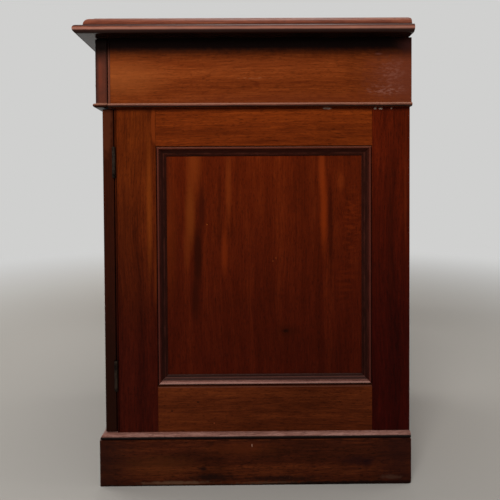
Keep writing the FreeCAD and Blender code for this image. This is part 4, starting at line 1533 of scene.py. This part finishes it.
@dataclass
class Studio:
    """Floor, world, lamps and camera."""

    eye: Point = (1.2985, -0.0018, 0.4834)
    pitch: float = -1.10
    yaw: float = 0.29
    roll: float = 0.33
    lens: float = 31.75
    shift: tuple[float, float] = (0.0054, -0.101)
    floor_size: float = 30.0
    fade: tuple[float, float] = (0.7, 2.6)
    floor_colour: Colour = paint(150, 146, 140)
    backdrop: Colour = paint(208, 208, 207)
    level: float = 0.22
    lamps: tuple[tuple[str, Point, Point, float, float, bool], ...] = (
        ("end_lamp", (1.90, -0.35, 1.25), (0.57, 0.0, 0.42), 0.7, 26.0, False),
        ("overhead", (0.45, 0.1, 2.3), (0.2, 0.0, 0.0), 1.0, 14.0, True),
        ("front_lamp", (-0.5, -2.3, 1.6), (0.0, -0.2, 0.4), 1.4, 38.0, True),
        ("left_lamp", (-2.2, -0.4, 1.6), (-0.5, 0.0, 0.4), 1.4, 30.0, True),
        ("back_lamp", (0.2, 2.3, 1.6), (0.0, 0.2, 0.4), 1.4, 25.0, False),
    )

    def camera(self) -> None:
        """Sets the camera at the photograph's place."""
        data = bpy.data.cameras.new("camera")
        data.lens, data.sensor_width = self.lens, 36.0
        data.shift_x, data.shift_y = self.shift
        data.clip_start, data.clip_end = 0.01, 100.0
        camera = linked("camera", data)
        pitch, yaw, roll = (math.radians(a) for a in (self.pitch, self.yaw, self.roll))
        ahead = Vector((-math.cos(yaw) * math.cos(pitch), math.sin(yaw) * math.cos(pitch), math.sin(pitch)))
        facing = ahead.to_track_quat("-Z", "Y").to_matrix().to_4x4()
        camera.matrix_world = Matrix.Translation(self.eye) @ facing @ Matrix.Rotation(-roll, 4, "Z")
        bpy.context.scene.camera = camera

    @staticmethod
    def lamp(name: str, place: Point, target: Point, size: float, power: float, shiny: bool) -> None:
        """Adds a soft square lamp.

        Args:
            name: The lamp's name.
            place: Where it hangs.
            target: What it is aimed at.
            size: The length of its side.
            power: Its power in watts.
            shiny: Whether polish shows its reflection.
        """
        data = bpy.data.lights.new(name, "AREA")
        data.shape, data.size, data.energy = "SQUARE", size, power
        lamp = linked(name, data)
        lamp.location = place
        lamp.rotation_mode = "QUATERNION"
        lamp.rotation_quaternion = (Vector(target) - Vector(place)).to_track_quat("-Z", "Y")
        lamp.visible_camera = False
        lamp.visible_glossy = shiny

    def floor(self) -> None:
        """Lays a pale floor that fades into the background."""
        Bench.clear()
        bpy.ops.mesh.primitive_plane_add(size=self.floor_size, location=(0, 0, 0))
        floor = bpy.context.object
        floor.name = "floor"
        material, w, at = begin("studio_floor")
        far = w.step(w.vector("LENGTH", at, (0.0, 0.0, 0.0), "Value"), *self.fade)
        matt = w.add("ShaderNodeBsdfDiffuse", {"Color": self.floor_colour})
        w.end(w.join(far * self.seen(w), matt, w.add("ShaderNodeEmission", {"Color": self.backdrop})))
        floor.data.materials.append(material)

    @staticmethod
    def seen(w: Wiring) -> Signal:
        """Finds the rays that come from the camera, or from glass or gloss that shows the background.

        Args:
            w: The wiring.

        Returns:
            1 for such a ray, and 0 for any other.
        """
        path = w.add("ShaderNodeLightPath")
        seen = w.out(path, "Is Camera Ray") + w.out(path, "Is Glossy Ray")
        return (seen + w.out(path, "Is Transmission Ray")).clamped()

    def world(self) -> None:
        """Pale backdrop for what is seen, and a plain soft level for what it lights."""
        world = bpy.data.worlds.new("studio")
        bpy.context.scene.world = world
        world.use_nodes = True
        w = Wiring(world.node_tree)
        light, backdrop = [w.add("ShaderNodeBackground", {"Color": colour, "Strength": strength})
                           for colour, strength in (((1.0, 1.0, 1.0), self.level), (self.backdrop, 1.0))]
        w.end(w.join(self.seen(w), light, backdrop), "World")

    def build(self) -> None:
        """Builds the studio."""
        self.camera()
        self.floor()
        self.world()
        for lamp in self.lamps:
            self.lamp(*lamp)
        bpy.context.scene.view_settings.view_transform = "Standard"


FRIEZE_FACE = 0.5825
END_FACE = 0.5745
PANEL_FACE = 0.568
PLINTH_FACE = 0.583
# top of the painted shadow under the top's overhang
SHADE_TOP = 0.736
BEAD_CREST = 0.625
BEAD_MIDDLE = 0.6214
BEAD_FOOT = 0.618
CAP_QUIRK = 0.0776
TOP_DRAWER_FRONT = 0.0187
DRAWER_FRONT = 0.0175
RAIL_TOP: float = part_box("right_end_moulding")[0].z

BEAD_HIGHLIGHT_AND_SHADE: Marks = (
    # painted highlight on the bead's crest and painted shade under its foot
    line_mark((0.0, 0.0, BEAD_CREST), 0.0026, paint(150, 104, 84), 0.65, 0.3, 0.3),
    line_mark((0.0, 0.0, BEAD_FOOT), 0.0044, paint(14, 4, 1), 0.95, 0.1, 0.55),
)

FRIEZE_FIGURE: Marks = end_marks(
    FRIEZE_FACE,
    (-0.205, 0.668, 0.11, 0.044, (134, 70, 31), 0.5, 0.3, 0.1),
    (0.275, 0.662, 0.11, 0.09, (92, 43, 28), 0.8, 0.4, 0.15),
    (0.06, 0.63, 0.32, 0.02, (82, 31, 12), 0.6, 0.4, 0.1),
    (0.03, 0.686, 0.22, 0.014, (90, 36, 12), 0.35, 0.4, 0.1),
)

FRIEZE_WEAR_AND_LIT_SHADOW_EDGE: Marks = end_marks(
    FRIEZE_FACE,
    # painted light: the painted shadow under the top lifts towards the back end; the rows below are scuffs
    # and scratches
    (0.285, 0.728, 0.055, 0.036, (58, 28, 24), 0.8, 0.3, 0.1),
    (0.236, 0.674, 0.034, 0.03, (140, 92, 78), 0.22, 0.9, 0.1, 0.9, (150.0, 150.0, 420.0)),
    (0.228, 0.646, 0.044, 0.013, (150, 104, 90), 0.28, 0.9, 0.1, 1.0, (130.0, 130.0, 480.0)),
    (0.216, 0.704, 0.009, 0.002, (112, 74, 66), 0.35, 1.2, 0.1, 0.5),
    (0.01, 0.666, 0.04, 0.0024, (150, 96, 62), 0.3, 1.2, 0.1, 1.0, (120.0, 120.0, 320.0)),
    (0.018, 0.6555, 0.006, 0.006, (70, 22, 6), 0.5, 1.0),
)

RIGHT_END_MARKS: dict[str, Marks] = {
    "front_stile": end_marks(
        END_FACE,
        (-0.159, 0.46, 0.007, 0.16, (124, 56, 14), 0.45, 0.2, 0.1),
        (-0.15, 0.35, 0.004, 0.08, (100, 40, 10), 0.35, 0.2, 0.1),
        (-0.199, 0.43, 0.018, 0.11, (46, 13, 3), 0.35, 0.3, 0.2),
        (-0.148, 0.593, 0.0085, 0.036, (102, 40, 10), 0.75, 0.1, 0.75),
    ),
    "back_stile": end_marks(
        END_FACE,
        (0.2119, 0.6176, 0.003, 0.0018, (190, 172, 158), 0.85, 1.2, 0.4),
        (0.2215, 0.6172, 0.004, 0.0016, (190, 172, 158), 0.85, 1.2, 0.4),
        (0.239, 0.6174, 0.0026, 0.0016, (190, 172, 158), 0.8, 1.2, 0.4),
        (0.262, 0.48, 0.003, 0.16, (96, 34, 12), 0.3, 0.3, 0.1),
        (0.237, 0.43, 0.008, 0.2, (40, 8, 2), 0.35, 0.2, 0.1),
    ),
    "bottom_rail": end_marks(
        END_FACE,
        # painted shade under the panel moulding, and a painted highlight on the rail's arris below it
        (0.0, RAIL_TOP, ALL_ROUND, 0.0024, (16, 3, 1), 0.85, 0.1, 0.5),
        (0.0, RAIL_TOP - 0.003, ALL_ROUND, 0.0012, (92, 54, 42), 0.55, 0.3, 0.3),
        (-0.0817, 0.1346, 0.003, 0.002, (18, 8, 5), 0.9),
        (-0.1248, 0.1199, 0.0026, 0.0018, (18, 8, 5), 0.9),
        (0.003, 0.0975, 0.0016, 0.0016, (18, 8, 5), 0.8),
        (-0.055, 0.099, 0.0014, 0.0014, (150, 70, 40), 0.6),
    ),
    "top_rail": end_marks(
        END_FACE,
        (0.1332, 0.618, 0.008, 0.002, (190, 172, 158), 0.9, 1.2, 0.3, 0.5, (400.0, 400.0, 400.0)),
    ),
    "panel": end_marks(
        PANEL_FACE,
        (-0.139, 0.5, 0.019, 0.12, (44, 14, 8), 0.6, 0.2, 0.2),
        (-0.0865, 0.535, 0.018, 0.09, (108, 43, 11), 0.68, 0.2, 0.1),
        (-0.093, 0.445, 0.012, 0.08, (104, 45, 12), 0.65, 0.2, 0.15),
        (-0.099, 0.388, 0.008, 0.052, (90, 34, 8), 0.55, 0.2, 0.2),
        (-0.0735, 0.455, 0.009, 0.062, (44, 9, 2), 0.75, 0.2, 0.2),
        (-0.0805, 0.376, 0.0105, 0.07, (34, 6, 1), 0.85, 0.2, 0.3),
        (-0.0855, 0.305, 0.011, 0.056, (36, 6, 1), 0.75, 0.2, 0.2),
        (-0.044, 0.45, 0.005, 0.12, (48, 11, 2), 0.45, 0.2, 0.2),
        (-0.128, 0.42, 0.02, 0.16, (92, 34, 6), 0.3, 0.3, 0.1),
        (-0.0296, 0.495, 0.0075, 0.085, (108, 43, 12), 0.52, 0.25, 0.1),
        (-0.036, 0.385, 0.008, 0.06, (106, 36, 8), 0.5, 0.3, 0.1),
        (0.1255, 0.52, 0.009, 0.06, (118, 43, 11), 0.6, 0.2, 0.15),
        (0.1285, 0.45, 0.009, 0.095, (118, 41, 8), 0.62, 0.2, 0.15),
        (0.14, 0.42, 0.0065, 0.12, (38, 6, 1), 0.7, 0.2, 0.25),
        (0.1574, 0.499, 0.0085, 0.02, (112, 42, 12), 0.35, 0.5),
        (0.175, 0.43, 0.022, 0.095, (106, 36, 8), 0.3, 0.6, 0.2, 1.0, (60.0, 60.0, 190.0)),
        (0.165, 0.34, 0.026, 0.07, (88, 26, 5), 0.28, 0.6, 0.2, 1.0, (50.0, 50.0, 170.0)),
        (0.069, 0.25, 0.03, 0.015, (34, 6, 1), 0.5, 0.6, 0.1),
        (0.064, 0.25, 0.0085, 0.005, (16, 3, 1), 0.8, 0.7, 0.2),
        (-0.0652, 0.4283, 0.0012, 0.0012, (170, 90, 36), 0.7, 0.3),
        (0.049, 0.3719, 0.0012, 0.0012, (150, 70, 30), 0.6, 0.3),
        (0.044, 0.3669, 0.0012, 0.0012, (150, 70, 30), 0.6, 0.3),
    ),
}

DOOR_EDGE_MARKS: Marks = end_marks(
    END_FACE,
    (-0.2254, 0.3, 0.02, 0.7, (31, 11, 6), 0.75, 0.9, 0.7),
    (-0.229, 0.59, 0.012, 0.06, (70, 32, 16), 0.7, 0.9, 0.5),
    (-0.225, 0.12, 0.02, 0.26, (19, 7, 4), 0.6, 0.6, 0.3),
    depth=0.006,
)

PLINTH_MARKS: Marks = end_marks(
    PLINTH_FACE,
    (0.0072, 0.066, 0.001, 0.0034, (170, 130, 110), 0.85, 0.3, 0.4),
    (-0.25, 0.045, 0.09, 0.09, (31, 12, 8), 0.75, 0.5, 0.1),
    (-0.01, 0.06, 0.09, 0.018, (74, 30, 10), 0.5, 0.8, 0.1),
    (-0.145, 0.035, 0.085, 0.024, (74, 36, 13), 0.4, 0.8, 0.1),
    (-0.0734, 0.0277, 0.01, 0.006, (16, 6, 6), 0.85, 0.8, 0.2),
    (0.1797, 0.04, 0.048, 0.012, (26, 8, 8), 0.65, 0.9, 0.2),
    (0.195, 0.035, 0.01, 0.01, (20, 6, 8), 0.6, 0.8, 0.2),
    (-0.06, 0.014, 0.05, 0.008, (20, 9, 7), 0.8, 1.0, 0.2),
    (0.055, 0.011, 0.09, 0.007, (20, 9, 7), 0.7, 1.0, 0.2),
    (-0.115, 0.005, 0.08, 0.0042, (92, 66, 48), 0.65, 1.2, 0.2),
    (0.04, 0.004, 0.08, 0.0028, (80, 58, 42), 0.5, 1.4),
    (0.2, 0.001, 0.24, 0.0065, (12, 7, 6), 0.9, 0.8, 0.5),
    (-0.05, 0.0, 0.6, 0.0028, (14, 8, 6), 0.9, 0.8, 0.5),
    (0.25, 0.04, 0.05, 0.08, (30, 10, 8), 0.65, 0.8, 0.1),
    (0.235, 0.012, 0.022, 0.005, (78, 52, 40), 0.4, 1.4),
)


def main() -> None:
    """Builds the sub-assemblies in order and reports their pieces."""
    logging.basicConfig(level=logging.INFO, format="%(name)s: %(message)s")
    top_drawers = enumerate(("left_top_drawer", "centre_top_drawer", "right_top_drawer"), -1)
    assemblies = (
        Studio(),
        TopBoard(),
        WritingLeather(),
        FriezeEnds(),
        PlainBoards(BEAD, ("frieze_end_beads",), BEAD_HIGHLIGHT_AND_SHADE),
        *(Drawer(name, True, TOP_DRAWER_FRONT, end) for end, name in top_drawers),
        *(Drawer(name, False, DRAWER_FRONT) for name in ("upper_drawer", "middle_drawer", "lower_drawer")),
        FramedEnd("right", marks=RIGHT_END_MARKS),
        FramedEnd("left"),
        InnerSides(),
        Plinth("right", marks=PLINTH_MARKS, kicked=0.006),
        Plinth("left"),
        CupboardDoor(),
        PlainBoards(CASE, ("frieze_rails", "right_shelf")),
        PlainBoards(CARCASS, ("frieze_back_board", "frieze_partitions", "frieze_dustboard", "left_back_board",
                              "right_back_board", "left_carcass_boards", "right_carcass_boards",
                              "left_drawer_rails", "right_shelf_battens")),
    )
    for assembly in assemblies:
        before = set(bpy.data.objects.keys())
        assembly.build()
        for name in sorted(set(bpy.data.objects.keys()) - before):
            log.info("%s: made %s", type(assembly).__name__, name)


if __name__ == "__main__":
    main()
